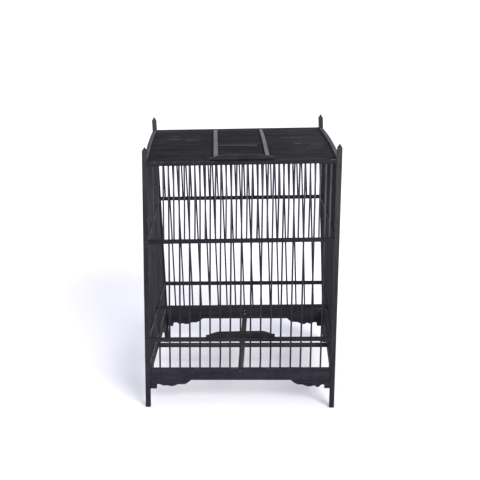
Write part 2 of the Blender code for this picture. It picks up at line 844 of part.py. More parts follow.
def build_brads(posts, lower_rails, upper_rails, skirts):
    """Brads through the front posts into the side rails, and in the front and back skirts."""
    rows = (
        ("lower", LOWER_RAIL_BASE + RAIL_HEIGHT / 2, lower_rails),
        ("upper", UPPER_RAIL_BASE + RAIL_HEIGHT / 2, upper_rails),
    )
    for side, x_side in (("left", -1), ("right", 1)):
        post = posts["front_" + side]
        for level, z, rails in rows:
            place = (x_side * SIDE_PLANE, -CAGE_DEPTH / 2, z)
            name = "brad_" + side + "_" + level
            build_brad(name, place, POST_BRAD_LENGTH, (post, rails[side]))
    high = SKIRT_TOP - BRAD_BELOW_SKIRT_TOP
    front_face = -FRONT.plane - SKIRT_THICKNESS / 2
    back_face = BACK.plane - SKIRT_THICKNESS / 2
    low = high - BRAD_SPACING
    skirt_brads = (
        ("brad_skirt_front", (0, front_face, high), "front", BRAD_HEAD_DIAMETER),
        ("brad_skirt_back_upper", (0, back_face, high), "back", BRAD_HEAD_DIAMETER),
        ("brad_skirt_back_lower", (0, back_face, low), "back", WIDE_HEAD_DIAMETER),
    )
    for name, place, wall_name, head_diameter in skirt_brads:
        build_brad(name, place, SKIRT_BRAD_LENGTH, (skirts[wall_name],), head_diameter)


def rack(front_rails):
    """Racks the frame, leans the door with it, and cuts the door's holes through the front rails."""
    frame_guide = add_guide(
        "frame_guide",
        Matrix.Rotation(-FRAME_TURN / 2, 4, "Z"),
        Matrix.Rotation(FRAME_TURN / 2, 4, "Z"),
    )
    door_guide = add_guide("door_guide", door_place(-FRAME_TURN / 2), door_place(FRAME_TURN / 2))
    for piece in PARTS.objects:
        if piece.type == "MESH":
            follow(piece, door_guide if piece.parent else frame_guide)
    for rail, base in front_rails:
        spans = [(x, *through(base, RAIL_HEIGHT)) for x in door_stations()]
        holes = holes_shape(FRONT, rail.name + "_door_holes", spans, SLIDE_FIT)
        follow(holes, door_guide)
        cut(rail, holes)


def main():
    posts = {}
    for y_name, y_side in (("front", -1), ("back", 1)):
        for x_name, x_side in (("left", -1), ("right", 1)):
            corner = y_name + "_" + x_name
            posts[corner] = build_post("post_" + corner, x_side, y_side)
    lower_rails = build_lower_rails()
    upper_rails = build_upper_rails()
    top_rails = build_top_rails()
    build_roof_grille()
    build_roof_battens()
    build_hanger_board()
    skirts = build_skirts()
    build_brackets()
    build_beams(skirts)
    build_perch()
    build_front_bars()
    build_door()
    build_brads(posts, lower_rails, upper_rails, skirts)
    rack(((upper_rails["front"], UPPER_RAIL_BASE), (top_rails["front"], TOP_RAIL_BASE)))


main()
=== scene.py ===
"""A square bird cage of dark-stained bamboo and wood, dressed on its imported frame.

Metres, +Z up, the front towards -Y. Each sub-assembly is a class: its fields hold its sizes, and
its methods shape its pieces, set them in place and give them their finish. Every piece is drawn
for an upright cage and then racked with the frame, whose top is turned against its feet.
"""

import logging
import math
import random
from collections.abc import Callable, Sequence
from dataclasses import dataclass, field, replace
from enum import Enum
from functools import cache, reduce

import bmesh
import bpy
from mathutils import Matrix, Vector, noise


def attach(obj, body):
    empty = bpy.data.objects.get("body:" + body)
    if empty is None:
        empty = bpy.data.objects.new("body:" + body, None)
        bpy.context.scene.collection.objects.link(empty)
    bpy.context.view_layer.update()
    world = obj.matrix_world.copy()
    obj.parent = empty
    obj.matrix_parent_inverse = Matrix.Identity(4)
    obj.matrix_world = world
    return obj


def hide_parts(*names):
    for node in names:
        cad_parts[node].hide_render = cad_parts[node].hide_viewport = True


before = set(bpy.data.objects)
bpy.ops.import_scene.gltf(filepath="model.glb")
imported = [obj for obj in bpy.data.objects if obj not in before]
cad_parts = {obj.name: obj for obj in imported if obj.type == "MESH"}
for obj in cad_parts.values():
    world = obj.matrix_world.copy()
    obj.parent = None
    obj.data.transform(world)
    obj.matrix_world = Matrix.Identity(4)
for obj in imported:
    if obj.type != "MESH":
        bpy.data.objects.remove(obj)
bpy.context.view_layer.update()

LOG = logging.getLogger("bird_cage")
SEED = 19
ALONG = Vector((1, 0, 0))
UP = Vector((0, 0, 1))
Colour = tuple[float, float, float]
Span = tuple[float, float]
Share = Callable[[Vector], float]
Outline = Sequence[tuple[float, float, bool]]
Socket = bpy.types.NodeSocket


def turned(degrees: float, axis: str) -> Matrix:
    """A turn about an axis through the origin."""
    return Matrix.Rotation(math.radians(degrees), 4, axis)


def moved(x: float, y: float, z: float) -> Matrix:
    """A move by these distances."""
    return Matrix.Translation((x, y, z))


def ramp(value: float, start: float, end: float) -> float:
    """How far the value has come from start to end, held between 0 and 1."""
    return min(1.0, max(0.0, (value - start) / (end - start)))


# Choices

class Body(Enum):
    """The two moving bodies of the cage."""

    CAGE = "cage"
    DOOR = "door"


class Slot(Enum):
    """The material slots of the record."""

    WOOD = "stained_wood"
    BAMBOO = "stained_bamboo"
    PALE = "pale_bamboo"
    STEEL = "brad_steel"


class Grain(Enum):
    """The direction that the fibres of a stick run in."""

    ACROSS = 0
    DEEP = 1
    UPRIGHT = 2


# Sizes of the whole cage

@dataclass(frozen=True)
class CageSizes:
    """The sizes that several sub-assemblies share, with the levels counted up from the floor."""

    width: float = 0.300
    post_side: float = 0.0076
    turn: float = math.radians(3.75)
    foot_clearance: float = 0.0460
    skirt_height: float = 0.0200
    base_opening: float = 0.0450
    rail_height: float = 0.0057
    door_opening: float = 0.1546
    top_opening: float = 0.1157
    post_rise: float = 0.0178
    post_tip: float = 0.0052
    rail_thickness: float = 0.0065
    arch_thickness: float = 0.0055
    skirt_thickness: float = 0.0050
    bar_diameter: float = 0.0028
    bar_count: int = 17
    door_bar_count: int = 7
    roof_rise: float = 0.0050
    socket_depth: float = 0.0027
    fit: float = 0.0003
    tenon_show: float = 0.0006

    @property
    def skirt_top(self) -> float:
        """The upper edge of the skirt boards."""
        return self.foot_clearance + self.skirt_height

    @property
    def lower_rail(self) -> float:
        """The underside of the lower rails."""
        return self.skirt_top + self.base_opening

    @property
    def upper_rail(self) -> float:
        """The underside of the upper rails."""
        return self.lower_rail + self.rail_height + self.door_opening

    @property
    def top_rail(self) -> float:
        """The underside of the top rails at the posts."""
        return self.upper_rail + self.rail_height + self.top_opening

    @property
    def roof_level(self) -> float:
        """The upper face of the top rails at the posts."""
        return self.top_rail + self.rail_height

    @property
    def shoulder(self) -> float:
        """Where the posts begin to taper to their tips."""
        return self.roof_level + self.post_rise

    @property
    def height(self) -> float:
        """The tips of the posts."""
        return self.shoulder + self.post_tip

    @property
    def bar_foot(self) -> float:
        """The foot of a long bar, in its socket in the skirt board."""
        return self.skirt_top - self.socket_depth

    @property
    def plane(self) -> float:
        """How far the middle plane of each wall is from the middle of the cage."""
        return (self.width - self.post_side) / 2

    @property
    def clear(self) -> float:
        """The clear width between two posts."""
        return self.width - 2 * self.post_side


SIZES = CageSizes()


@dataclass(frozen=True)
class Wall:
    """One side of the cage, drawn as if it faced the front and then turned about Z."""

    name: str
    ends: tuple[str, str]
    quarter_turns: int
    rise: float = 0.0

    @property
    def grain(self) -> Grain:
        """The direction of this wall's rails."""
        return Grain.DEEP if self.quarter_turns % 2 else Grain.ACROSS

    def at(self, x: float, z: float, depth: float = 0.0) -> Matrix:
        """Moves a piece from the origin to x along the wall, z up and this far in from its plane."""
        return turned(90 * self.quarter_turns, "Z") @ moved(x, depth - SIZES.plane, z)

    def stations(self, count: int) -> list[float]:
        """Where this many bars stand along the wall, evenly between the posts."""
        pitch = SIZES.clear / (count + 1)
        return [(step + 1) * pitch - SIZES.clear / 2 for step in range(count)]

    def long_bars(self) -> list[float]:
        """The bars that stand in the skirt board."""
        return self.stations(SIZES.bar_count)

    def short_bars(self) -> list[float]:
        """The extra bars above the upper rail, midway between the long ones."""
        return self.stations(2 * SIZES.bar_count + 1)[::2]

    def door_bars(self) -> list[float]:
        """The long bars in the middle of the wall, which belong to the door."""
        first = (SIZES.bar_count - SIZES.door_bar_count) // 2
        return self.long_bars()[first:first + SIZES.door_bar_count]

    def lift(self, x: float) -> float:
        """How far the top rail's arch rises at x along the wall."""
        share = min(1.0, abs(2 * x / SIZES.clear))
        return self.rise * (1 - share * share)

    def bar_head(self, x: float) -> float:
        """The head of a bar, in its socket in the top rail."""
        return SIZES.top_rail + self.lift(x) + SIZES.socket_depth


FRONT = Wall("front", ("left", "right"), 0)
RIGHT = Wall("right", ("front", "back"), 1, SIZES.roof_rise)
BACK = Wall("back", ("right", "left"), 2)
LEFT = Wall("left", ("back", "front"), 3, SIZES.roof_rise)
WALLS = (FRONT, RIGHT, BACK, LEFT)


@dataclass(frozen=True)
class Racking:
    """How the frame is racked: its floor and its top turn opposite ways, and all between follows."""

    sizes: CageSizes = SIZES

    def frame_point(self, point: Vector) -> Vector:
        """Racks a point with the frame.

        Args:
            point: The point of the upright cage.

        Returns:
            Where it comes to lie.
        """
        floor = Matrix.Rotation(-self.sizes.turn / 2, 3, "Z") @ point
        top = Matrix.Rotation(self.sizes.turn / 2, 3, "Z") @ point
        return floor.lerp(top, point.z / self.sizes.height)

    def door_point(self, point: Vector) -> Vector:
        """Leans a point with the door, which follows the frame and stays flat.

        Args:
            point: The point of the upright cage.

        Returns:
            Where it comes to lie.
        """
        slide_level = (self.sizes.upper_rail + self.sizes.roof_level) / 2
        turn = self.sizes.turn * (slide_level / self.sizes.height - 1 / 2)
        middle = Vector((0, -self.sizes.plane, point.z))
        return self.frame_point(middle) + Matrix.Rotation(turn, 3, "Z") @ (point - middle)

    def of(self, body: Body) -> Callable[[Vector], Vector]:
        """The map that the pieces of this body follow."""
        return self.door_point if body is Body.DOOR else self.frame_point


RACKING = Racking()


# Node wiring

@dataclass(frozen=True)
class NoiseKind:
    """A noise: its scale, its octaves, how rough they are and how far it is warped."""

    scale: float
    octaves: float
    rough: float
    warp: float = 0.0


class Wiring:
    """Adds nodes to a tree and joins them, each call one node with its inputs."""

    def __init__(self, tree: bpy.types.NodeTree) -> None:
        """Takes the tree that the nodes go into."""
        self.tree = tree

    def feed(self, inputs: object, values: dict) -> None:
        """Sets inputs or joins them to their sources.

        Args:
            inputs: The input sockets, by name or number.
            values: Value or source socket for each of them.
        """
        for name, value in values.items():
            if isinstance(value, Socket):
                self.tree.links.new(value, inputs[name])
            else:
                inputs[name].default_value = value

    def node(self, kind: str, inputs: dict | None = None, **settings: object) -> bpy.types.Node:
        """Adds one node.

        Args:
            kind: Blender's name of the node type.
            inputs: Value or source socket for each input, by its name or number.
            settings: Attributes of the node itself.

        Returns:
            The new node.
        """
        made = self.tree.nodes.new(kind)
        for name, value in settings.items():
            setattr(made, name, value)
        self.feed(made.inputs, inputs or {})
        return made

    def group(self, tree: bpy.types.NodeTree, inputs: dict) -> bpy.types.NodeOutputs:
        """Adds a node group, and returns its outputs."""
        return self.node("ShaderNodeGroup", inputs, node_tree=tree).outputs

    def value(self, layer: str) -> Socket:
        """The value that the meshes carry in this layer."""
        return self.node("ShaderNodeAttribute", attribute_name=layer).outputs["Fac"]

    def math(self, operation: str, first: Socket | float, second: Socket | float) -> Socket:
        """One arithmetic step on two values."""
        return self.node("ShaderNodeMath", {0: first, 1: second}, operation=operation).outputs[0]

    def weigh(self, *parts: tuple[Socket, float]) -> Socket:
        """The sum of the values, each times its share."""
        shares = [self.math("MULTIPLY", value, share) for value, share in parts]
        return reduce(lambda first, second: self.math("ADD", first, second), shares)

    def noise(self, vector: Socket, kind: NoiseKind, per: Socket | float = 1.0) -> Socket:
        """Adds a noise.

        Args:
            vector: The place that it is read at.
            kind: What it is like.
            per: What its scale is multiplied by.

        Returns:
            The noise, as a value about one half.
        """
        scale = self.math("MULTIPLY", per, kind.scale)
        made = self.node("ShaderNodeTexNoise", {
            "Vector": vector, "Scale": scale, "Detail": kind.octaves, "Roughness": kind.rough,
            "Distortion": kind.warp,
        })
        return made.outputs["Fac"]

    def fit(self, value: Socket, low: float, high: float, to_low: float = 0.0,
            to_high: float = 1.0) -> Socket:
        """Stretches the value's range from low..high to to_low..to_high, and holds its ends."""
        ends = {"Value": value, "From Min": low, "From Max": high, "To Min": to_low, "To Max": to_high}
        return self.node("ShaderNodeMapRange", ends, clamp=True, interpolation_type="SMOOTHSTEP").outputs[0]

    def blend(self, share: Socket, first: Socket | Colour, second: Socket | Colour) -> Socket:
        """Adds a colour between two others.

        Args:
            share: How much of the second one it holds.
            first: The first colour.
            second: The second colour.

        Returns:
            The colour.
        """
        made = self.node("ShaderNodeMix", data_type="RGBA")
        inputs = {item.identifier: item for item in made.inputs}
        ends = {"Factor_Float": share}
        for key, value in (("A_Color", first), ("B_Color", second)):
            ends[key] = value if isinstance(value, Socket) else (*value, 1.0)
        self.feed(inputs, ends)
        return next(item for item in made.outputs if item.identifier == "Result_Color")

    def bump(self, strength: float, distance: float, height: Socket) -> Socket:
        """The normal of a surface with this height."""
        inputs = {"Strength": strength, "Distance": distance, "Height": height}
        return self.node("ShaderNodeBump", inputs).outputs["Normal"]


def new_group(name: str, inputs: Sequence[str], outputs: Sequence[str]) -> tuple[Wiring, dict, dict]:
    """Starts a shader node group that is laid out over a vector.

    Args:
        name: The group's name.
        inputs: Names of its value inputs.
        outputs: Names of its value outputs.

    Returns:
        The group's wiring, its input sockets by name and its output sockets by name.
    """
    tree = bpy.data.node_groups.new(name, "ShaderNodeTree")
    tree.interface.new_socket("Vector", in_out="INPUT", socket_type="NodeSocketVector")
    for way, labels in (("INPUT", inputs), ("OUTPUT", outputs)):
        for label in labels:
            tree.interface.new_socket(label, in_out=way, socket_type="NodeSocketFloat")
    sheet = Wiring(tree)
    given = sheet.node("NodeGroupInput").outputs
    leave = sheet.node("NodeGroupOutput").inputs
    return sheet, {item.name: item for item in given}, {item.name: item for item in leave}


def new_material(name: str) -> tuple[bpy.types.Material, Wiring, bpy.types.NodeInputs, Socket]:
    """Starts a material.

    Args:
        name: The material's name.

    Returns:
        The material, its wiring, its shader's inputs and the place on the object.
    """
    material = bpy.data.materials.new(name)
    material.use_nodes = True
    sheet = Wiring(material.node_tree)
    shader = material.node_tree.nodes["Principled BSDF"]
    return material, sheet, shader.inputs, sheet.node("ShaderNodeTexCoord").outputs["Object"]


# Effects that the finishes share

@dataclass(frozen=True)
class Fibres:
    """Long fibres and pores of split bamboo and planed wood, as a streak mask and a height."""

    fine: NoiseKind = NoiseKind(1.0, 4.0, 0.6)
    broad: NoiseKind = NoiseKind(0.22, 3.0, 0.55, 0.4)
    fine_share: float = 0.45
    broad_share: float = 0.55
    streak_range: Span = (0.38, 0.62)
    pore_range: Span = (0.30, 0.46)
    streak_height: float = 0.6

    @cache
    def group(self) -> bpy.types.NodeTree:
        """Builds the node group, once.

        Returns:
            The group.
        """
        sheet, given, leave = new_group("fibre_streaks", ["Fineness"], ["Streaks", "Height"])
        fine = sheet.noise(given["Vector"], self.fine, given["Fineness"])
        broad = sheet.noise(given["Vector"], self.broad, given["Fineness"])
        both = sheet.weigh((fine, self.fine_share), (broad, self.broad_share))
        pores = sheet.fit(fine, *self.pore_range)
        height = sheet.weigh((both, self.streak_height), (pores, 1.0))
        sheet.feed(leave, {"Streaks": sheet.fit(both, *self.streak_range), "Height": height})
        return sheet.tree


@dataclass(frozen=True)
class StainPatches:
    """Patches where brushed-on stain lies thick or thin, from hand-sized down to a few millimetres."""

    wide: NoiseKind = NoiseKind(1.0, 3.0, 0.6, 0.6)
    small: NoiseKind = NoiseKind(7.0, 3.0, 0.65)
    wide_share: float = 0.6
    small_share: float = 0.4
    patch_range: Span = (0.36, 0.64)

    @cache
    def group(self) -> bpy.types.NodeTree:
        """Builds the node group, once.

        Returns:
            The group.
        """
        sheet, given, leave = new_group("stain_patches", ["Scale"], ["Patches"])
        wide = sheet.noise(given["Vector"], self.wide, given["Scale"])
        small = sheet.noise(given["Vector"], self.small, given["Scale"])
        both = sheet.weigh((wide, self.wide_share), (small, self.small_share))
        sheet.feed(leave, {"Patches": sheet.fit(both, *self.patch_range)})
        return sheet.tree


@dataclass(frozen=True)
class EdgeWear:
    """Worn arrises and small nicks, from the wear value that the meshes carry."""

    patch: NoiseKind = NoiseKind(60.0, 4.0, 0.7, 0.5)
    crumble: NoiseKind = NoiseKind(700.0, 3.0, 0.7)
    patch_share: float = 0.6
    crumble_share: float = 0.4
    unworn: float = 0.72
    worn_per_amount: float = 0.28
    border: Span = (-0.03, 0.07)
    arris_range: Span = (0.25, 0.9)
    spot: NoiseKind = NoiseKind(240.0, 2.0, 0.5, 0.8)
    speck_share: float = 0.12
    nick_range: Span = (0.69, 0.74)

    @cache
    def group(self) -> bpy.types.NodeTree:
        """Builds the node group, once.

        Returns:
            The group.
        """
        sheet, given, leave = new_group("edge_wear", ["Wear", "Amount", "Specks"], ["Mask", "Nicks"])
        patch = sheet.noise(given["Vector"], self.patch)
        crumble = sheet.noise(given["Vector"], self.crumble)
        reach = sheet.weigh((patch, self.patch_share), (crumble, self.crumble_share))
        worn = sheet.math("MULTIPLY", given["Amount"], self.worn_per_amount)
        over = sheet.math("SUBTRACT", reach, sheet.math("SUBTRACT", self.unworn, worn))
        edge = sheet.fit(given["Wear"], *self.arris_range)
        spots = sheet.noise(given["Vector"], self.spot)
        spots = sheet.weigh((spots, 1.0), (given["Specks"], self.speck_share))
        sheet.feed(leave, {
            "Mask": sheet.math("MULTIPLY", sheet.fit(over, *self.border), edge),
            "Nicks": sheet.fit(spots, *self.nick_range),
        })
        return sheet.tree


# Finishes

@dataclass(frozen=True)
class StainedFinish:
    """Charcoal stain on wood or bamboo, rubbed to a satin, with paler worn arrises."""

    name: str
    slot: Slot
    deep: Colour
    thin: Colour
    bare: Colour
    matt: float = 0.78
    satin: float = 0.50
    gloss_level: float = 0.16
    fineness: float = 1.0
    patch_scale: float = 22.0
    wear: float = 0.5
    specks: float = 0.0
    relief: float = 0.00010
    relief_strength: float = 0.8
    stretch: float = 0.055
    fibres_per_metre: float = 520.0
    faded_and_lit_deep: Colour = (0.0292, 0.0286, 0.0284)
    faded_and_lit_thin: Colour = (0.0900, 0.0882, 0.0872)
    streak_share: float = 0.40
    patch_share: float = 0.35
    tone_share: float = 0.25
    nick_shares: Span = (0.2, 0.65)
    rough_range: Span = (0.1, 0.9)
    worn_depth: float = 0.8

    def material(self, grain: Grain) -> bpy.types.Material:
        """The finish with its fibres along this direction, made once and then reused."""
        name = f"{self.name}_{grain.name.lower()}"
        return bpy.data.materials.get(name) or self.make(name, grain)

    def make(self, name: str, grain: Grain) -> bpy.types.Material:
        """Builds the material's nodes.

        Args:
            name: The material's name.
            grain: The direction of the fibres.

        Returns:
            The new material.
        """
        material, sheet, shader, place = new_material(name)
        stretch = [self.fibres_per_metre] * 3
        stretch[grain.value] *= self.stretch
        along = sheet.node("ShaderNodeMapping", {"Vector": place, "Scale": stretch}).outputs[0]
        fibre = sheet.group(Fibres().group(), {"Vector": along, "Fineness": self.fineness})
        stain = sheet.group(StainPatches().group(), {"Vector": place, "Scale": self.patch_scale})
        edge = sheet.group(EdgeWear().group(), {
            "Vector": place, "Wear": sheet.value("wear"), "Amount": self.wear, "Specks": self.specks,
        })
        streaks, patches, mask, fade = fibre["Streaks"], stain["Patches"], edge["Mask"], sheet.value("fade")
        cover = sheet.weigh(
            (streaks, self.streak_share), (patches, self.patch_share), (sheet.value("tone"), self.tone_share)
        )
        # Pales the colour where the mesh asks: faded stain in some places, painted highlights and sheen in
        # others.
        faded_and_lit = sheet.blend(cover, self.faded_and_lit_deep, self.faded_and_lit_thin)
        colour = sheet.blend(fade, sheet.blend(cover, self.deep, self.thin), faded_and_lit)
        colour = sheet.blend(mask, colour, self.bare)
        nicks = sheet.math("MULTIPLY", edge["Nicks"], sheet.fit(fade, 0.0, 1.0, *self.nick_shares))
        rough = sheet.weigh((patches, 1 / 2), (streaks, 1 / 2))
        height = sheet.weigh((fibre["Height"], 1.0), (mask, -self.worn_depth))
        sheet.feed(shader, {
            "Base Color": sheet.blend(nicks, colour, self.bare),
            "Roughness": sheet.fit(rough, *self.rough_range, self.satin, self.matt),
            "Normal": sheet.bump(self.relief_strength, self.relief, height),
            "Specular IOR Level": self.gloss_level,
        })
        material.diffuse_color = (*self.thin, 1.0)
        return material


@dataclass(frozen=True)
class SteelFinish:
    """Dull bare steel of a small brad head, spotted where stain and rust sit on it."""

    name: str = "brad_steel_worn"
    slot: Slot = Slot.STEEL
    bright: Colour = (0.27, 0.26, 0.24)
    dull: Colour = (0.08, 0.075, 0.07)
    spots: NoiseKind = NoiseKind(1400.0, 4.0, 0.65)
    dull_range: Span = (0.42, 0.6)
    rough_range: tuple[float, float, float, float] = (0.3, 0.7, 0.32, 0.6)
    metal_range: tuple[float, float, float, float] = (0.45, 0.65, 1.0, 0.4)
    relief: float = 0.00003
    relief_strength: float = 0.5

    def material(self, grain: Grain) -> bpy.types.Material:
        """The finish, made once; a brad has no grain, so the direction isn't used."""
        return bpy.data.materials.get(self.name) or self.make()

    def make(self) -> bpy.types.Material:
        """Builds the material's nodes.

        Returns:
            The new material.
        """
        material, sheet, shader, place = new_material(self.name)
        spots = sheet.noise(place, self.spots)
        sheet.feed(shader, {
            "Base Color": sheet.blend(sheet.fit(spots, *self.dull_range), self.bright, self.dull),
            "Roughness": sheet.fit(spots, *self.rough_range),
            "Metallic": sheet.fit(spots, *self.metal_range),
            "Normal": sheet.bump(self.relief_strength, self.relief, spots),
        })
        return material


Finish = StainedFinish | SteelFinish
WOOD = StainedFinish(
    "charcoal_wood", Slot.WOOD, (0.0081, 0.0075, 0.0107), (0.0265, 0.0248, 0.0338),
    (0.090, 0.0855, 0.084), gloss_level=0.04,
)
GREY_WOOD = replace(
    WOOD, name="greyer_wood", deep=(0.0079, 0.0080, 0.0099), thin=(0.0260, 0.0262, 0.0310), specks=0.3,
)
SPECKLED_WOOD = replace(WOOD, name="speckled_wood", wear=0.9, specks=0.9, bare=(0.15, 0.148, 0.145))
BEAM = replace(
    WOOD, name="thin_stained_wood", deep=(0.0143, 0.0139, 0.0149), thin=(0.0445, 0.0437, 0.0444),
    specks=0.3, faded_and_lit_deep=(0.042, 0.041, 0.041), faded_and_lit_thin=(0.122, 0.119, 0.119),
)
BOARD = replace(
    WOOD, name="dark_board", deep=(0.0048, 0.0047, 0.0053), thin=(0.0142, 0.0138, 0.0150), wear=0.2,
)
CLOUD = replace(
    WOOD, name="dark_door_end", deep=(0.0062, 0.0061, 0.0071), thin=(0.0250, 0.0243, 0.0277),
    patch_scale=40.0,
)
BAMBOO = StainedFinish(
    "charcoal_bamboo", Slot.BAMBOO, (0.0053, 0.0051, 0.0060), (0.0265, 0.0255, 0.0286),
    (0.0855, 0.083, 0.077), fineness=1.3, wear=0.35, stretch=0.03, gloss_level=0.05,
)
BLUISH = replace(
    BAMBOO, name="bluish_bamboo", deep=(0.0060, 0.0054, 0.0080), thin=(0.0310, 0.0279, 0.0400),
    faded_and_lit_deep=(0.030, 0.028, 0.036), faded_and_lit_thin=(0.092, 0.087, 0.108),
)
RUBBED = replace(
    BAMBOO, name="rubbed_bamboo", deep=(0.0142, 0.0142, 0.0168), thin=(0.0465, 0.0465, 0.0540),
    wear=0.6, specks=0.5,
)
# Painted shade: a darker copy of the rubbed bamboo for the right wall's bars, whose inner sides lie in shade.
SHADED_RUBBED = replace(
    RUBBED, name="painted_shade_rubbed_bamboo", deep=(0.0124, 0.0122, 0.0150), thin=(0.0410, 0.0402, 0.0492),
)
PALE = StainedFinish(
    "worn_grey_bamboo", Slot.PALE, (0.0257, 0.0248, 0.0257), (0.162, 0.157, 0.160),
    (0.256, 0.248, 0.239), matt=0.6, satin=0.45, wear=0.7, patch_scale=45.0, stretch=0.03,
    gloss_level=0.1, specks=0.2,
)
STEEL = SteelFinish()
STAINED_STEEL = SteelFinish("stained_brad_steel", bright=(0.10, 0.098, 0.105), dull=(0.03, 0.029, 0.032))


# Workpieces

class Workpiece:
    """A mesh in the making, with its wear, its tone and its fading and painted highlights at each vertex."""

    crease = math.radians(50)
    darkest_tone = 2.5
    seed_directions = Vector((1.0, 3.7, -1.9))

    def __init__(self) -> None:
        """Starts an empty mesh with its three layers."""
        self.bm = bmesh.new()
        layers = self.bm.verts.layers.float
        self.wear, self.tone, self.faded_and_lit = (layers.new(name) for name in ("wear", "tone", "fade"))

    def fade(self, share: Share, arrises: bool = False) -> "Workpiece":
        """Pales the stain: faded stain in some places, painted highlights in others.

        Args:
            share: How far it is paled at a place, from 0 to 1.
            arrises: Whether only the arrises are paled.

        Returns:
            The workpiece.
        """
        for vert in self.bm.verts:
            if vert[self.wear] > 1 / 2 or not arrises:
                vert[self.faded_and_lit] = max(vert[self.faded_and_lit], share(vert.co))
        return self

    def soak_and_shade(self, share: Share) -> None:
        """Darkens the stain, where share gives 1 for the darkest: thick stain on some pieces, painted shade
        on others.
        """
        for vert in self.bm.verts:
            vert[self.tone] -= self.darkest_tone * share(vert.co)

    def move(self, matrix: Matrix) -> "Workpiece":
        """Moves the whole workpiece, and returns it."""
        bmesh.ops.transform(self.bm, matrix=matrix, verts=self.bm.verts)
        return self

    def shade(self, tone: float) -> "Workpiece":
        """Gives every vertex this tone.

        Args:
            tone: How thinly the stain lies, from 0 to 1.

        Returns:
            The workpiece.
        """
        for vert in self.bm.verts:
            vert[self.tone] = tone
        return self

    def take(self, other: "Workpiece") -> None:
        """Adds another workpiece to this one.

        Args:
            other: The workpiece, which is let go.
        """
        carrier = bpy.data.meshes.new("carrier")
        other.bm.to_mesh(carrier)
        other.bm.free()
        self.bm.from_mesh(carrier)
        bpy.data.meshes.remove(carrier)

    def lift(self, rise: Share) -> None:
        """Raises each vertex by what rise gives for its place."""
        for vert in self.bm.verts:
            vert.co.z += rise(vert.co)

    def slice(self, level: float, way: Vector) -> None:
        """Cuts the faces all round at this level along a direction."""
        everything = [*self.bm.verts, *self.bm.edges, *self.bm.faces]
        bmesh.ops.bisect_plane(self.bm, geom=everything, plane_co=way * level, plane_no=way)

    def ease(self, edges: Sequence[bmesh.types.BMEdge], arris: float, segments: int) -> None:
        """Rounds edges.

        Args:
            edges: The edges.
            arris: How far back from the edge the rounding starts.
            segments: How many facets it has.
        """
        bmesh.ops.bevel(
            self.bm, geom=edges, offset=arris, offset_type="OFFSET", segments=segments, profile=0.5,
            affect="EDGES", material=-1,
        )

    def ring(self, flats: Sequence[bmesh.types.BMFace], margin: float) -> None:
        """Rings flat faces with a narrow margin, and wears all but the faces themselves.

        Args:
            flats: The flat faces.
            margin: The margin's width.
        """
        for vert in self.bm.verts:
            vert[self.wear] = 1.0
        bmesh.ops.inset_region(self.bm, faces=flats, thickness=margin, use_boundary=True)
        for face in flats:
            for vert in face.verts:
                vert[self.wear] = 0.0

    def roughen(self, amount: float, scale: float, seed: float) -> "Workpiece":
        """Makes the faces a little uneven, as a hand plane or a knife leaves them.

        Args:
            amount: How far a vertex may move, in metres.
            scale: How many unevennesses there are in a metre.
            seed: Where in the noise this piece is taken from.

        Returns:
            The workpiece.
        """
        self.bm.normal_update()
        shift = seed * self.seed_directions
        for vert in self.bm.verts:
            vert.co += vert.normal * amount * noise.noise(vert.co * scale + shift)
        return self

    def finish(self, name: str, finish: Finish, grain: Grain, *nodes: str, body: Body = Body.CAGE) -> None:
        """Racks the mesh with its body and makes the finished piece.

        Args:
            name: The piece's name.
            finish: What it is finished with.
            grain: The direction of its fibres.
            nodes: The CAD nodes that it stands for.
            body: The body that it rides on.
        """
        racked = RACKING.of(body)
        for vert in self.bm.verts:
            vert.co = racked(vert.co)
        bmesh.ops.recalc_face_normals(self.bm, faces=self.bm.faces)
        mesh = bpy.data.meshes.new(name)
        self.bm.to_mesh(mesh)
        self.bm.free()
        mesh.shade_smooth()
        mesh.set_sharp_from_angle(angle=self.crease)
        mesh.materials.append(finish.material(grain))
        piece = bpy.data.objects.new(name, mesh)
        bpy.context.scene.collection.objects.link(piece)
        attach(piece, body.value)
        if nodes:
            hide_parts(*nodes)
        LOG.info("%s: %d faces", name, len(mesh.polygons))


@dataclass(frozen=True)
class Stick:
    """A planed stick along X about the origin, its arrises eased and its faces slightly uneven."""

    length: float
    thickness: float
    height: float
    arris: float = 0.0004
    margin: float = 0.0006
    spacing: float = 0.012
    unevenness: float = 0.00009
    waves_per_metre: float = 45.0
    seeds: Span = (0, 90)
    facets: int = 2
    sharp: float = math.radians(45)
    flat: float = math.cos(math.radians(2))

    def make(self, chance: random.Random) -> Workpiece:
        """Shapes the stick.

        Args:
            chance: Where its tone and unevenness are drawn from.

        Returns:
            The workpiece.
        """
        work = Workpiece()
        size = Matrix.Diagonal((self.length, self.thickness, self.height, 1))
        bmesh.ops.create_cube(work.bm, size=1, matrix=size)
        cuts = max(1, round(self.length / self.spacing))
        for step in range(1, cuts):
            work.slice((step / cuts - 1 / 2) * self.length, ALONG)
        work.bm.normal_update()
        arrises = [edge for edge in work.bm.edges if edge.calc_face_angle(0) > self.sharp]
        work.ease(arrises, self.arris, self.facets)
        work.bm.normal_update()
        flats = [face for face in work.bm.faces if max(map(abs, face.normal)) > self.flat]
        work.ring(flats, self.margin)
        work.shade(chance.random())
        return work.roughen(self.unevenness, self.waves_per_metre, chance.uniform(*self.seeds))


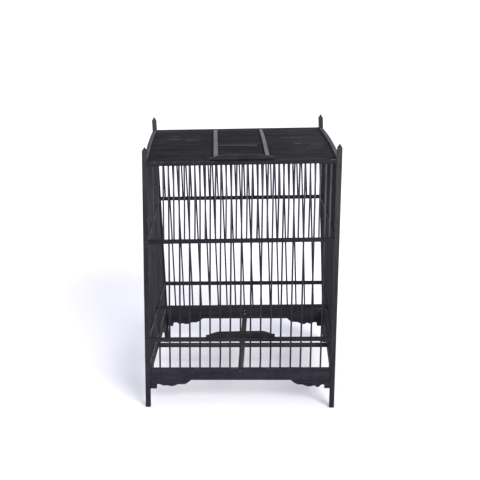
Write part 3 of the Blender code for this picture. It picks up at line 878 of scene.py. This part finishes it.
@dataclass(frozen=True)
class Rod:
    """A round split-bamboo rod along Z from the origin, with a swelling at each of its nodes."""

    length: float
    diameter: float = SIZES.bar_diameter
    sides: int = 8
    bow: float = 0.0005
    swelling: float = 0.10
    node_reach: float = 0.0011
    node_spacing: Span = (0.11, 0.19)
    node_wear: float = 0.8
    plain_end: float = 0.01
    thickness_range: Span = (0.95, 1.03)
    steps: int = 4

    def make(self, chance: random.Random) -> Workpiece:
        """Shapes the rod.

        Args:
            chance: Where its nodes, bow and tone are drawn from.

        Returns:
            The workpiece.
        """
        work = Workpiece()
        radius = self.diameter / 2 * chance.uniform(*self.thickness_range)
        spin = Matrix.Rotation(chance.uniform(0, math.tau), 4, "Z")
        bmesh.ops.create_cone(
            work.bm, cap_ends=True, segments=self.sides, radius1=radius, radius2=radius,
            depth=self.length, matrix=moved(0, 0, self.length / 2) @ spin,
        )
        nodes = self.node_levels(chance)
        levels = {self.length * step / self.steps for step in range(1, self.steps)}
        for level in nodes:
            levels |= {level - self.node_reach, level, level + self.node_reach}
        for level in sorted(levels):
            work.slice(level, UP)
        lean = Vector((chance.uniform(-1, 1), chance.uniform(-1, 1), 0)) * self.bow
        for vert in work.bm.verts:
            if any(abs(vert.co.z - level) < self.node_reach / 2 for level in nodes):
                vert.co.xy *= 1 + self.swelling
                vert[work.wear] = self.node_wear
            share = 2 * vert.co.z / self.length - 1
            vert.co += lean * (1 - share * share)
        return work.shade(chance.random())

    def node_levels(self, chance: random.Random) -> list[float]:
        """Draws the heights of the rod's nodes.

        Args:
            chance: Where they are drawn from.

        Returns:
            The heights, from the foot up.
        """
        levels = []
        level = chance.uniform(self.plain_end, self.node_spacing[1])
        while level < self.length - self.plain_end:
            levels.append(level)
            level += chance.uniform(*self.node_spacing)
        return levels


@dataclass(frozen=True)
class Carving:
    """A flat piece sawn to an outline in the XZ plane, its edges eased, its middle at y = 0."""

    thickness: float
    arris: float = 0.0004
    margin: float = 0.0008
    steps: int = 6
    weld: float = 0.00001

    def make(self, outline: Outline, chance: random.Random) -> Workpiece:
        """Saws the piece.

        Args:
            outline: x, z and whether the outline is round, for each point in turn.
            chance: Where its tone is drawn from.

        Returns:
            The workpiece.
        """
        work = Workpiece()
        bm = work.bm
        sheet = self.filled(outline)
        bm.from_mesh(sheet)
        bpy.data.meshes.remove(sheet)
        bmesh.ops.remove_doubles(bm, verts=bm.verts, dist=self.weld)
        bmesh.ops.dissolve_faces(bm, faces=bm.faces)
        work.ring(list(bm.faces), self.margin)
        bmesh.ops.solidify(bm, geom=bm.faces, thickness=self.thickness)
        bmesh.ops.recalc_face_normals(bm, faces=bm.faces)
        bm.normal_update()
        work.ease([edge for edge in bm.edges if self.is_rim(edge)], self.arris, 1)
        depths = [vert.co.z for vert in bm.verts]
        work.move(turned(90, "X") @ moved(0, 0, -(min(depths) + max(depths)) / 2))
        return work.shade(chance.random())

    @staticmethod
    def is_rim(edge: bmesh.types.BMEdge) -> bool:
        """Whether this edge lies between a face of the board and its sawn edge."""
        flat = [abs(face.normal.z) > 1 / 2 for face in edge.link_faces]
        return len(flat) == 2 and flat[0] != flat[1]

    def filled(self, outline: Outline) -> bpy.types.Mesh:
        """Fills the outline.

        Args:
            outline: x, z and whether the outline is round, for each point in turn.

        Returns:
            A flat mesh in the XY plane.
        """
        curve = bpy.data.curves.new("outline", "CURVE")
        curve.dimensions = "2D"
        curve.fill_mode = "BOTH"
        curve.resolution_u = self.steps
        spline = curve.splines.new("BEZIER")
        spline.bezier_points.add(len(outline) - 1)
        spline.use_cyclic_u = True
        for point, (x, z, is_round) in zip(spline.bezier_points, outline):
            point.co = (x, z, 0)
            point.handle_left_type = "AUTO" if is_round else "VECTOR"
            point.handle_right_type = point.handle_left_type
        holder = bpy.data.objects.new("outline", curve)
        bpy.context.scene.collection.objects.link(holder)
        bpy.context.view_layer.update()
        graph = bpy.context.evaluated_depsgraph_get()
        mesh = bpy.data.meshes.new_from_object(holder.evaluated_get(graph))
        bpy.data.objects.remove(holder, do_unlink=True)
        bpy.data.curves.remove(curve)
        return mesh


# Sub-assemblies

@dataclass
class Assembly:
    """What the sub-assemblies have in common: where the chances of their pieces are drawn from."""

    chance: random.Random


@dataclass
class CornerPosts(Assembly):
    """The four square corner posts with their pointed tips."""

    side: float = SIZES.post_side
    shoulder: float = SIZES.shoulder
    tip: float = SIZES.post_tip
    tip_flat: float = 0.0012
    tip_wear: float = 0.9
    top_slope: float = math.radians(20)
    spacing: float = 0.02
    # Painted shade: the back-left post is darkened low down, in its shaded corner.
    shaded_post: str = "back_left"
    shade_start: Span = (0.030, 0.045)
    shade_end: Span = (0.075, 0.060)
    paler_shares: dict[str, tuple[float, float, float]] = field(default_factory=lambda: {
        "front_left": (0.33, 0.37, 0.22),
        "front_right": (0.19, 0.36, 0.50),
        "back_left": (0.385, 0.400, 0.62),
        "back_right": (0.385, 0.400, 0.52),
    })

    def build(self) -> None:
        """Makes the posts, paler towards their tips, and sets them at the corners."""
        for y_name, y_side in (("front", -1), ("back", 1)):
            for x_name, x_side in (("left", -1), ("right", 1)):
                corner = f"{y_name}_{x_name}"
                work = self.shape()
                start, full, share = self.paler_shares[corner]
                work.fade(lambda point: share * ramp(point.z, start, full))
                # Painted shade on the back-left post's lower part.
                if corner == self.shaded_post:
                    work.soak_and_shade(lambda point: ramp(point.z, *self.shade_start) * ramp(point.z, *self.shade_end))
                work.move(moved(x_side * SIZES.plane, y_side * SIZES.plane, 0))
                finish = GREY_WOOD if corner == "front_right" else WOOD
                work.finish(f"corner_post_{corner}", finish, Grain.UPRIGHT, f"post_{corner}")

    def shape(self) -> Workpiece:
        """Shapes one upright post with its foot at the origin.

        Returns:
            The workpiece.
        """
        work = Stick(self.shoulder, self.side, self.side, spacing=self.spacing).make(self.chance)
        work.move(moved(0, 0, self.shoulder / 2) @ turned(-90, "Y"))
        self.point(work)
        return work

    def point(self, work: Workpiece) -> None:
        """Draws the top of a post up to its blunt point.

        Args:
            work: The post.
        """
        bm = work.bm
        bm.normal_update()
        roof = [
            face for face in bm.faces
            if face.normal.z > math.cos(self.top_slope) and face.calc_center_median().z > self.shoulder / 2
        ]
        raised = bmesh.ops.extrude_face_region(bm, geom=roof)
        bmesh.ops.delete(bm, geom=roof, context="FACES")
        verts = [item for item in raised["geom"] if isinstance(item, bmesh.types.BMVert)]
        bmesh.ops.translate(bm, vec=(0, 0, self.tip), verts=verts)
        narrow = self.tip_flat / self.side
        bmesh.ops.scale(bm, vec=(narrow, narrow, 1), verts=verts)
        for vert in verts:
            vert[work.wear] = self.tip_wear


@dataclass
class Rails(Assembly):
    """The lower, upper and straight top rails between the posts, and the two arched side ones."""

    thickness: float = SIZES.rail_thickness
    height: float = SIZES.rail_height
    bare_rail: str = "top_rail_of_front"
    bare_spacing: float = 0.0015
    bare_band: float = 0.0008
    bare_spots: tuple[Span, ...] = (
        (-0.1225, -0.1190), (-0.1030, -0.0985), (-0.0650, -0.0625), (0.1335, 0.1420),
    )
    # Painted sheen: the top rails are paler all over, for their top faces catching the light.
    paler_shares: dict[str, float] = field(default_factory=lambda: {
        "top_rail_of_left": 0.58, "top_rail_of_right": 1.0, "top_rail_of_back": 0.38,
    })
    rubbed_arrises: dict[str, float] = field(default_factory=lambda: {
        "upper_rail_of_left": 1.0, "upper_rail_of_right": 0.4, "lower_rail_of_left": 0.7,
    })
    speckled: tuple[str, ...] = (
        "top_rail_of_left", "top_rail_of_right", "upper_rail_of_left", "lower_rail_of_left",
    )

    def build(self) -> None:
        """Makes the rails of every wall."""
        for wall in WALLS:
            upper = "upper_rail_front" if wall is FRONT else f"grille_{wall.name}"
            top = "roof_grille" if wall.rise else f"top_rail_{wall.name}"
            self.rail(wall, "lower", SIZES.lower_rail, f"lower_rail_{wall.name}")
            self.rail(wall, "upper", SIZES.upper_rail, upper)
            self.rail(wall, "top", SIZES.top_rail, top)

    def rail(self, wall: Wall, level: str, base: float, node: str) -> None:
        """Makes one rail.

        Args:
            wall: The wall that it belongs to.
            level: Its name: lower, upper or top.
            base: The height of its underside at the posts.
            node: The CAD node that it stands for.
        """
        name = f"{level}_rail_of_{wall.name}"
        arched = level == "top" and wall.rise > 0
        bare = name == self.bare_rail
        thickness = SIZES.arch_thickness if arched else self.thickness
        spacing = self.bare_spacing if bare else Stick.spacing
        length = SIZES.clear + 2 * SIZES.tenon_show
        work = Stick(length, thickness, self.height, spacing=spacing).make(self.chance)
        # Painted sheen on the top rails.
        work.fade(lambda point: self.paler_shares.get(name, 0.0))
        work.fade(lambda point: self.rubbed_arrises.get(name, 0.0), arrises=True)
        if bare:
            work.fade(self.worn)
        if arched:
            work.lift(lambda point: wall.lift(point.x))
        work.move(wall.at(0, base + self.height / 2))
        work.finish(name, SPECKLED_WOOD if name in self.speckled else WOOD, wall.grain, node)

    def worn(self, point: Vector) -> float:
        """How far the stain has gone from a rail that is bare in spots along its upper front arris."""
        upper = point.y < 0 and point.z > self.height / 2 - self.bare_band
        return float(upper and any(start < point.x < end for start, end in self.bare_spots))


@dataclass
class WallBars(Assembly):
    """The round bars that stand in the walls."""

    # Painted highlights: the front and back bars are paler towards the roof, the front ones most at the right
    # end, where light catches them.
    front_fade: float = 0.60
    right_end_fade: float = 0.35
    right_end: Span = (0.09, 0.12)
    back_fade: float = 0.30
    highlight_levels: Span = (0.22, 0.30)
    left_foot_fade: float = 0.08
    left_top_fade: float = 0.48
    left_paling_levels: Span = (0.17, 0.29)
    side_steps: int = 24

    def build(self) -> None:
        """Makes the bars of every wall, the front wall's fixed ones one by one."""
        short_foot = SIZES.upper_rail + SIZES.rail_height / 2
        for wall in WALLS:
            if wall is FRONT:
                self.front()
            else:
                self.row(f"long_bars_{wall.name}", wall, wall.long_bars(), SIZES.bar_foot)
            self.row(f"short_bars_{wall.name}", wall, wall.short_bars(), short_foot)

    def front(self) -> None:
        """Makes the fixed long bars beside the door, and the short fixed ones below it."""
        moving = FRONT.door_bars()
        fixed = [x for x in FRONT.long_bars() if x not in moving]
        for number, x in enumerate(fixed, start=1):
            work = self.bar(FRONT, x, SIZES.bar_foot, FRONT.bar_head(x))
            work.finish(f"wall_bar_{number:02d}", BLUISH, Grain.UPRIGHT, f"front_bar_{number:02d}")
        below = Workpiece()
        for x in moving:
            below.take(self.bar(FRONT, x, SIZES.bar_foot, SIZES.lower_rail + SIZES.rail_height / 2))
        below.finish("bars_below_door", BLUISH, Grain.UPRIGHT)

    def row(self, name: str, wall: Wall, stations: Sequence[float], foot: float) -> None:
        """Makes a row of bars as one piece.

        Args:
            name: The piece's name.
            wall: The wall that they stand in.
            stations: Where they stand along the wall.
            foot: The height of their feet.
        """
        row = Workpiece()
        for x in stations:
            row.take(self.bar(wall, x, foot, wall.bar_head(x)))
        if wall is LEFT:
            row.fade(self.left_fade)
        row.finish(name, {LEFT: RUBBED, RIGHT: SHADED_RUBBED}.get(wall, BLUISH), Grain.UPRIGHT)

    def left_fade(self, point: Vector) -> float:
        """The left wall's bars are paler towards the roof."""
        return self.left_foot_fade + self.left_top_fade * ramp(point.z, *self.left_paling_levels)

    def bar(self, wall: Wall, x: float, foot: float, head: float) -> Workpiece:
        """Shapes one bar and stands it in its wall.

        Args:
            wall: The wall.
            x: Where it stands along the wall.
            foot: The height of its foot.
            head: The height of its head.

        Returns:
            The workpiece.
        """
        # Painted highlight on the front and back bars.
        front_share = self.front_fade + self.right_end_fade * ramp(x, *self.right_end)
        share = {FRONT: front_share, BACK: self.back_fade}.get(wall, 0.0)
        steps = self.side_steps if wall in (LEFT, RIGHT) else Rod.steps
        work = Rod(head - foot, steps=steps).make(self.chance).move(wall.at(x, foot))
        return work.fade(lambda point: share * ramp(point.z, *self.highlight_levels))


@dataclass
class Roof(Assembly):
    """The arched roof of rods, its two bent battens and the board between them."""

    rod_diameter: float = 0.0028
    rod_seat: float = 0.0001
    rod_bow: float = 0.0003
    rod_steps: int = 60
    burial: float = 0.0006
    # Painted highlights: the right part of the rods and pale streaks on some rods, where light catches them.
    right_fade: float = 0.13
    right_part: Span = (0.03, 0.08)
    arris: float = 0.0003
    batten_spacing: float = 0.0790
    batten_width: float = 0.0066
    batten_thickness: float = 0.0020
    batten_margin: float = 0.0005
    batten_cut_spacing: float = 0.009
    right_batten_slimmer: float = 0.0007
    batten_taper: float = 0.07
    board_back: float = 0.0181
    board_depth: float = 0.0166
    board_spread: float = 0.0056
    board_thickness: float = 0.0016
    board_margin: float = 0.0003
    board_cut_spacing: float = 0.006
    board_end_slant: float = 0.0100
    front_edge: float = 0.0002
    # Painted light: the board's front face is paler against the shade beneath it, and its back arris carries
    # a painted highlight.
    front_edge_fade: float = 0.85
    back_edge: float = 0.0005
    back_edge_fade: float = 0.50
    streaks: tuple[tuple[int, float, float, float], ...] = (
        (26, -0.118, -0.099, 0.45), (25, -0.087, -0.066, 0.40), (22, -0.120, -0.100, 0.45),
        (21, -0.087, -0.066, 0.60), (18, -0.138, -0.122, 0.25), (22, 0.072, 0.106, 0.30),
        (15, 0.088, 0.100, 0.90), (15, 0.120, 0.1335, 0.45), (13, 0.113, 0.1335, 0.55),
        (10, 0.105, 0.127, 0.35),
    )

    @property
    def rod_level(self) -> float:
        """The middle of a rod beside the front and back rails."""
        return SIZES.top_rail + self.rod_diameter / 2 + self.rod_seat

    @property
    def rod_top(self) -> float:
        """The top of a rod beside the front and back rails."""
        return self.rod_level + self.rod_diameter / 2

    def build(self) -> None:
        """Makes the rods, the battens and the board."""
        middle = self.batten_spacing / 2
        self.rods()
        self.batten("left", -middle, self.batten_width)
        self.batten("right", middle, self.batten_width - self.right_batten_slimmer)
        self.board()

    def rods(self) -> None:
        """Makes the rods that lie from side to side."""
        length = SIZES.clear + SIZES.post_side - SIZES.arch_thickness + 2 * self.burial
        rod = Rod(length, self.rod_diameter, bow=self.rod_bow, steps=self.rod_steps)
        lying = turned(90, "Y") @ moved(0, 0, -length / 2)
        grille = Workpiece()
        for number, y in enumerate(RIGHT.stations(2 * SIZES.bar_count + 1)):
            work = rod.make(self.chance)
            work.move(moved(0, y, self.rod_level + RIGHT.lift(y)) @ lying)
            # Painted highlights on the rods.
            work.fade(lambda point: self.right_fade * ramp(point.x, *self.right_part))
            for streaked, start, end, share in self.streaks:
                if streaked == number:
                    work.fade(lambda point: share * (start < point.x < end))
            grille.take(work)
        grille.finish("roof_rods", BAMBOO, Grain.ACROSS)

    def lay(self, work: Workpiece, x: float, y: float, thickness: float) -> None:
        """Lays a thin piece of this thickness on the rods, bent as they are."""
        work.move(moved(x, y, self.rod_top + SIZES.fit + thickness / 2))
        work.lift(lambda point: RIGHT.lift(point.y))

    def batten(self, side: str, x: float, width: float) -> None:
        """Makes a thin flat strip bent over the rods, a little narrower towards the back.

        Args:
            side: Its name: left or right.
            x: Where it lies across the roof.
            width: Its width at the front.
        """
        length = 2 * (SIZES.plane - SIZES.rail_thickness / 2 - SIZES.fit)
        work = Stick(
            length, width, self.batten_thickness, self.arris, self.batten_margin, self.batten_cut_spacing
        ).make(self.chance)
        for vert in work.bm.verts:
            vert.co.y *= 1 - self.batten_taper * (1 / 2 + vert.co.x / length)
        work.move(turned(90, "Z"))
        self.lay(work, x, 0, self.batten_thickness)
        work.finish(f"batten_{side}", PALE, Grain.DEEP, f"roof_batten_{side}")

    def board(self) -> None:
        """Makes the board between the battens that a hook is screwed to, its right end slanted."""
        length = self.batten_spacing - self.batten_width - 2 * SIZES.fit
        half = self.board_depth / 2
        work = Stick(
            length, self.board_depth, self.board_thickness, self.arris, self.board_margin,
            self.board_cut_spacing,
        ).make(self.chance)
        # Painted light on the board's front face and back edge.
        work.fade(lambda point: self.front_edge_fade * (point.y < self.front_edge - half))
        work.fade(lambda point: self.back_edge_fade * (point.y > half - self.back_edge))
        for vert in work.bm.verts:
            near = 1 / 2 - vert.co.y / self.board_depth
            right = 1 / 2 + vert.co.x / length
            vert.co.y -= self.board_spread * near * right
            vert.co.x -= self.board_end_slant * near * max(0.0, 2 * right - 1)
        self.lay(work, 0, -self.board_back - half, self.board_thickness)
        work.finish("hook_board", BOARD, Grain.ACROSS, "hanger_board")


@dataclass
class Base(Assembly):
    """The skirt boards, the carved brackets below them and the two floor beams."""

    skirt_thickness: float = SIZES.skirt_thickness
    skirt_margin: float = 0.0009
    # Painted highlights: a pale band along the top of the back and left boards, strongest at the back board's
    # ends.
    top_band: float = 0.0011
    top_ends: Span = (0.122, 0.130)
    top_highlights: dict[str, Span] = field(default_factory=lambda: {"back": (0.40, 0.85), "left": (0.9, 0.9)})
    face_fades: dict[str, float] = field(default_factory=lambda: {"back": 0.11})
    beam_width: float = 0.0084
    beam_height: float = 0.0055
    long_beam_drop: float = 0.00012
    beam_back_fade: float = 0.12
    beam_front_fade: float = 0.8
    beam_fade_places: Span = (-0.01, -0.13)
    bracket_length: float = 0.0640
    bracket_drop: float = 0.0144
    bracket_thickness: float = 0.0050
    slip_along: float = 0.012
    slip_down: float = 0.03
    bracket_shares: Outline = (
        (0.000, 0.00, False), (1.000, 0.00, False), (0.920, 0.30, True), (0.830, 0.48, False),
        (0.690, 0.50, False), (0.530, 0.74, True), (0.420, 0.60, False), (0.320, 0.71, True),
        (0.250, 0.54, True), (0.190, 0.50, False), (0.150, 0.62, False), (0.150, 1.00, False),
        (0.000, 1.00, False),
    )
    knife_slips: dict[str, tuple[Span, ...]] = field(default_factory=lambda: {
        "front_left": (
            (0.0, 0.0), (0.011, 0.0), (-0.010, 0.05), (0.025, 0.0), (0.0, -0.01), (0.010, -0.03),
            (-0.018, 0.01), (0.018, -0.06), (-0.003, -0.02), (-0.010, -0.05), (0.007, -0.05),
            (0.007, 0.0), (0.0, 0.0),
        ),
        "front_right": (
            (0.0, 0.0), (-0.038, -0.03), (-0.035, -0.02), (-0.050, 0.03), (-0.015, 0.01),
            (-0.012, 0.0), (-0.040, 0.02), (-0.035, 0.10), (-0.045, 0.0), (-0.045, 0.0),
            (-0.018, -0.05), (-0.018, -0.06), (0.0, -0.06),
        ),
    })

    def build(self) -> None:
        """Makes the boards, brackets and beams."""
        for wall in WALLS:
            self.skirt(wall)
            for end, side in zip(wall.ends, (-1, 1)):
                self.bracket(wall, end, side)
        self.beams()

    def skirt(self, wall: Wall) -> None:
        """Makes one board round the base.

        Args:
            wall: The wall that it belongs to.
        """
        length = SIZES.clear + 2 * SIZES.tenon_show
        height = SIZES.skirt_height
        work = Stick(length, self.skirt_thickness, height, margin=self.skirt_margin).make(self.chance)
        upper = height / 2 - self.top_band
        share, end_share = self.top_highlights.get(wall.name, (0.0, 0.0))
        work.fade(lambda point: self.face_fades.get(wall.name, 0.0))
        # Painted highlight along the board's top.
        work.fade(lambda point: share * (point.z > upper))
        work.fade(lambda point: end_share * (point.z > upper) * ramp(abs(point.x), *self.top_ends))
        work.move(wall.at(0, SIZES.foot_clearance + height / 2))
        finish = SPECKLED_WOOD if wall is LEFT else WOOD
        work.finish(f"skirt_board_{wall.name}", finish, wall.grain, f"skirt_{wall.name}")

    def slips(self) -> list[Span]:
        """Draws how far the knife slipped along and down at each point of a bracket.

        Returns:
            The slips, as shares of its length and drop.
        """
        drawn = [(self.chance.uniform(-1, 1), self.chance.uniform(-1, 1)) for _ in self.bracket_shares]
        return [
            (self.slip_along * slip * (0 < along < 1), self.slip_down * sink * (0 < down < 1))
            for (along, down, _), (slip, sink) in zip(self.bracket_shares, drawn)
        ]

    def bracket(self, wall: Wall, end: str, side: int) -> None:
        """Makes one carved bracket in the corner below a skirt board.

        Args:
            wall: The wall that it belongs to.
            end: The name of the board's end that it is at.
            side: -1 at the left end as seen from outside, 1 at the right.
        """
        name = f"{wall.name}_{end}"
        start = SIZES.clear / 2 - SIZES.fit
        outline = [
            (
                side * (start - (along + slip) * self.bracket_length),
                -(down + sink) * self.bracket_drop,
                is_round,
            )
            for (along, down, is_round), (slip, sink)
            in zip(self.bracket_shares, self.knife_slips.get(name) or self.slips())
        ]
        work = Carving(self.bracket_thickness).make(outline, self.chance)
        work.move(wall.at(0, SIZES.foot_clearance - SIZES.fit))
        finish = GREY_WOOD if side > 0 else WOOD
        work.finish(f"carved_bracket_{name}", finish, wall.grain, f"bracket_{name}")

    def beams(self) -> None:
        """Makes the two beams across the open floor, half lapped where they cross."""
        length = 2 * (SIZES.plane - self.skirt_thickness / 2 + SIZES.tenon_show)
        z = SIZES.foot_clearance + self.beam_height / 2
        for name, node, turn, grain, drop in (
            ("cross_beam", "floor_beam_cross", 0, Grain.ACROSS, 0.0),
            ("long_beam", "floor_beam_long", 90, Grain.DEEP, self.long_beam_drop),
        ):
            work = Stick(length, self.beam_width, self.beam_height).make(self.chance)
            work.move(moved(0, 0, z - drop) @ turned(turn, "Z"))
            work.fade(self.beam_fade)
            if grain is Grain.ACROSS:
                # The cross beam is darker towards its bottom.
                work.soak_and_shade(lambda point: ramp(point.z, z, z - self.beam_height / 2))
            work.finish(name, BEAM, grain, node)

    def beam_fade(self, point: Vector) -> float:
        """The beams are paler towards the front."""
        return self.beam_back_fade + self.beam_front_fade * ramp(point.y, *self.beam_fade_places)


@dataclass
class Perch(Assembly):
    """The round stick that lies across the cage on the two lower side rails."""

    diameter: float = 0.0062
    taper: float = 0.08
    end_inset: float = 0.0030

    def build(self) -> None:
        """Makes the perch, whose right end is the thicker one, and lays it on the rails."""
        length = SIZES.width - 2 * self.end_inset
        work = Rod(
            length, self.diameter, sides=20, bow=0.0, swelling=0.035, node_reach=0.0018,
            node_spacing=(0.08, 0.13), steps=12,
        ).make(self.chance)
        for vert in work.bm.verts:
            vert.co.xy *= 1 + self.taper * (2 * vert.co.z / length - 1)
        slope = math.degrees(math.asin(self.taper * self.diameter / length))
        y = -SIZES.bar_diameter / 2 - SIZES.fit - self.diameter / 2 * (1 + self.taper)
        z = SIZES.lower_rail + SIZES.rail_height + self.diameter / 2
        work.move(moved(0, y, z) @ turned(90 - slope, "Y") @ moved(0, 0, -length / 2))
        work.finish("perch_stick", BAMBOO, Grain.ACROSS, "perch")


@dataclass(frozen=True)
class EndPiece:
    """A cloud-shaped piece at one end of the door's bars."""

    name: str
    node: str
    base: float
    height: float
    overhang: float
    shares: tuple[Span, ...]

    def outline(self) -> Outline:
        """Draws the piece.

        Returns:
            x, z and whether the outline is round, for each point in turn.
        """
        stations = FRONT.door_bars()
        half = (stations[-1] - stations[0]) / 2 + self.overhang
        right = [(across * half, up * self.height, False) for across, up in self.shares]
        return right + [(-x, z, is_round) for x, z, is_round in reversed(right)]


@dataclass
class Door(Assembly):
    """The lifting door: a cloud-shaped piece above and below seven bars."""

    piece_thickness: float = 0.0054
    sill_socket_floor: float = 0.0025
    crown_socket_depth: float = 0.0031
    sill: EndPiece = EndPiece(
        "door_sill", "door_foot", SIZES.lower_rail + SIZES.rail_height + SIZES.fit, 0.0096, 0.0066,
        ((1.00, 0.00), (1.00, 0.45), (0.90, 0.50), (0.87, 0.62), (0.69, 0.94), (0.62, 1.00)),
    )
    crown: EndPiece = EndPiece(
        "door_crown", "door_head", SIZES.roof_level + SIZES.fit, 0.0098, 0.0028,
        ((0.95, 0.05), (1.00, 0.36), (1.00, 0.44), (0.95, 0.50), (0.74, 0.78), (0.48, 0.95)),
    )
    # The crown carries a painted highlight on its upper front arrises and painted shade in the crease along
    # its foot.
    sill_soak: float = 0.25
    crown_edge_fade: float = 0.45
    crown_highlight_from: float = 0.45
    crease_height: float = 0.0014

    def build(self) -> None:
        """Makes the two end pieces, the upper one with painted shade below and a painted highlight along its
        top, and the bars.
        """
        for piece in (self.sill, self.crown):
            work = Carving(self.piece_thickness).make(piece.outline(), self.chance)
            if piece is self.crown:
                high = piece.height * self.crown_highlight_from
                low = piece.height * piece.shares[0][1] + self.crease_height
                # Painted highlight along the upper front arrises.
                work.fade(lambda point: self.crown_edge_fade * (point.z > high and point.y < 0), arrises=True)
                # Painted shade in the crease along the foot.
                work.soak_and_shade(lambda point: float(point.z < low))
            else:
                work.soak_and_shade(lambda point: self.sill_soak)
            work.move(FRONT.at(0, piece.base))
            work.finish(piece.name, CLOUD, Grain.ACROSS, piece.node, body=Body.DOOR)
        foot = self.sill.base + self.sill_socket_floor
        head = self.crown.base + self.crown_socket_depth
        for number, x in enumerate(FRONT.door_bars(), start=1):
            # The door's bars carry the front bars' painted highlight too.
            work = WallBars(self.chance).bar(FRONT, x, foot, head)
            work.finish(f"door_rod_{number}", BLUISH, Grain.UPRIGHT, f"door_bar_{number}", body=Body.DOOR)


@dataclass
class Brads:
    """The small steel brads whose heads show at the front corners and on two skirt boards."""

    diameter: float = 0.0018
    wide_diameter: float = 0.0040
    sides: int = 14
    crown: float = 0.0004
    rings: tuple[Span, ...] = ((0.50, 0.92), (0.85, 0.62))
    below_skirt_top: float = 0.0047
    spacing: float = 0.0071

    def build(self) -> None:
        """Sets every brad."""
        proud = self.crown / 4
        for side, sign in (("left", -1), ("right", 1)):
            for level, base in (("lower", SIZES.lower_rail), ("upper", SIZES.upper_rail)):
                height = base + SIZES.rail_height / 2
                place = FRONT.at(sign * SIZES.plane, height, -SIZES.post_side / 2 - proud)
                self.brad(f"{side}_{level}", place, self.diameter)
        high = SIZES.skirt_top - self.below_skirt_top
        low = high - self.spacing
        depth = SIZES.skirt_thickness / 2 + proud
        inward = turned(180, "Z")
        self.brad("skirt_front", FRONT.at(0, high, -depth), self.diameter)
        self.brad("skirt_back_upper", BACK.at(0, high, depth) @ inward, self.diameter)
        self.brad("skirt_back_lower", BACK.at(0, low, depth) @ inward, self.wide_diameter)

    def brad(self, name: str, place: Matrix, diameter: float) -> None:
        """Makes one domed head.

        Args:
            name: The brad's name.
            place: Where it goes when it is drawn at the origin, facing -Y.
            diameter: The head's diameter.
        """
        work = Workpiece()
        radius = diameter / 2
        rim = bmesh.ops.create_circle(work.bm, cap_ends=False, segments=self.sides, radius=radius)["verts"]
        edges = list({edge for vert in rim for edge in vert.link_edges})
        for rise, share in self.rings:
            grown = bmesh.ops.extrude_edge_only(work.bm, edges=edges)["geom"]
            edges = [item for item in grown if isinstance(item, bmesh.types.BMEdge)]
            for vert in (item for item in grown if isinstance(item, bmesh.types.BMVert)):
                vert.co.xy = vert.co.xy.normalized() * radius * share
                vert.co.z = self.crown * rise
        bmesh.ops.holes_fill(work.bm, edges=work.bm.edges, sides=0)
        work.move(place @ turned(90, "X"))
        finish = STEEL if name.startswith("skirt") else STAINED_STEEL
        work.finish(f"brad_head_{name}", finish, Grain.UPRIGHT, f"brad_{name}")


# Studio

@dataclass
class Studio:
    """A plain pale floor, soft light all round and the camera."""

    floor_size: float = 60.0
    floor_colour: Colour = (0.93, 0.93, 0.94)
    floor_clouds: NoiseKind = NoiseKind(1.3, 2.0, 0.5)
    cloud_shade: float = 0.985
    floor_roughness: float = 0.9
    floor_gloss: float = 0.1
    sky_colour: Colour = (0.865, 0.865, 1.0)
    sky_strength: float = 1.03
    lamp_colour: Colour = (1.0, 0.985, 0.93)
    lamp_height: float = 0.50
    lamp_side: float = 0.50
    lamp_spread: float = 0.5
    lamp_power: float = 3.05
    camera_place: tuple[float, float, float] = (0.01345, -1.7405, 0.71042)
    pitch: float = 0.26647
    yaw: float = 0.00882
    roll: float = -0.01336
    focal_pixels: float = 1080.71
    frame_pixels: float = 480.0
    sensor: float = 36.0

    def build(self) -> None:
        """Sets up the floor, the light and the camera."""
        self.floor()
        self.sky()
        self.lamp()
        self.camera()
        bpy.context.scene.view_settings.view_transform = "Standard"

    def floor(self) -> None:
        """Lays a wide pale floor."""
        bm = bmesh.new()
        bmesh.ops.create_grid(bm, x_segments=1, y_segments=1, size=self.floor_size / 2)
        mesh = bpy.data.meshes.new("studio_floor")
        bm.to_mesh(mesh)
        bm.free()
        material, sheet, shader, place = new_material("pale_paper")
        darker = tuple(value * self.cloud_shade for value in self.floor_colour)
        clouds = sheet.noise(place, self.floor_clouds)
        sheet.feed(shader, {
            "Base Color": sheet.blend(clouds, self.floor_colour, darker),
            "Roughness": self.floor_roughness,
            "Specular IOR Level": self.floor_gloss,
        })
        mesh.materials.append(material)
        floor = bpy.data.objects.new("studio_floor", mesh)
        bpy.context.scene.collection.objects.link(floor)

    def sky(self) -> None:
        """Sets a near-white surround."""
        world = bpy.data.worlds.new("white_surround")
        world.use_nodes = True
        background = world.node_tree.nodes["Background"]
        background.inputs["Color"].default_value = (*self.sky_colour, 1.0)
        background.inputs["Strength"].default_value = self.sky_strength
        bpy.context.scene.world = world

    def lamp(self) -> None:
        """Hangs a broad soft light above, on the right of the front."""
        light = bpy.data.lights.new("soft_light", "SUN")
        light.angle = self.lamp_spread
        light.energy = self.lamp_power
        light.color = self.lamp_colour
        lamp = bpy.data.objects.new("soft_light", light)
        lamp.rotation_euler = (math.pi / 2 - self.lamp_height, 0, self.lamp_side)
        bpy.context.scene.collection.objects.link(lamp)

    def camera(self) -> None:
        """Sets the camera, which looks down and a little aside and is rolled a touch."""
        data = bpy.data.cameras.new("camera")
        data.sensor_width = self.sensor
        data.lens = self.focal_pixels / self.frame_pixels * self.sensor
        camera = bpy.data.objects.new("camera", data)
        look = (
            Matrix.Rotation(self.yaw, 4, "Z")
            @ Matrix.Rotation(math.pi / 2 - self.pitch, 4, "X")
            @ Matrix.Rotation(self.roll, 4, "Z")
        )
        camera.matrix_world = Matrix.Translation(self.camera_place) @ look
        bpy.context.scene.collection.objects.link(camera)
        bpy.context.scene.camera = camera


def main() -> None:
    """Builds every sub-assembly in turn, and then the studio round it."""
    logging.basicConfig(level=logging.INFO, format="%(name)s: %(message)s")
    chance = random.Random(SEED)
    for kind in (CornerPosts, Rails, WallBars, Roof, Base, Perch, Door):
        kind(chance).build()
    Brads().build()
    Studio().build()


if __name__ == "__main__":
    main()
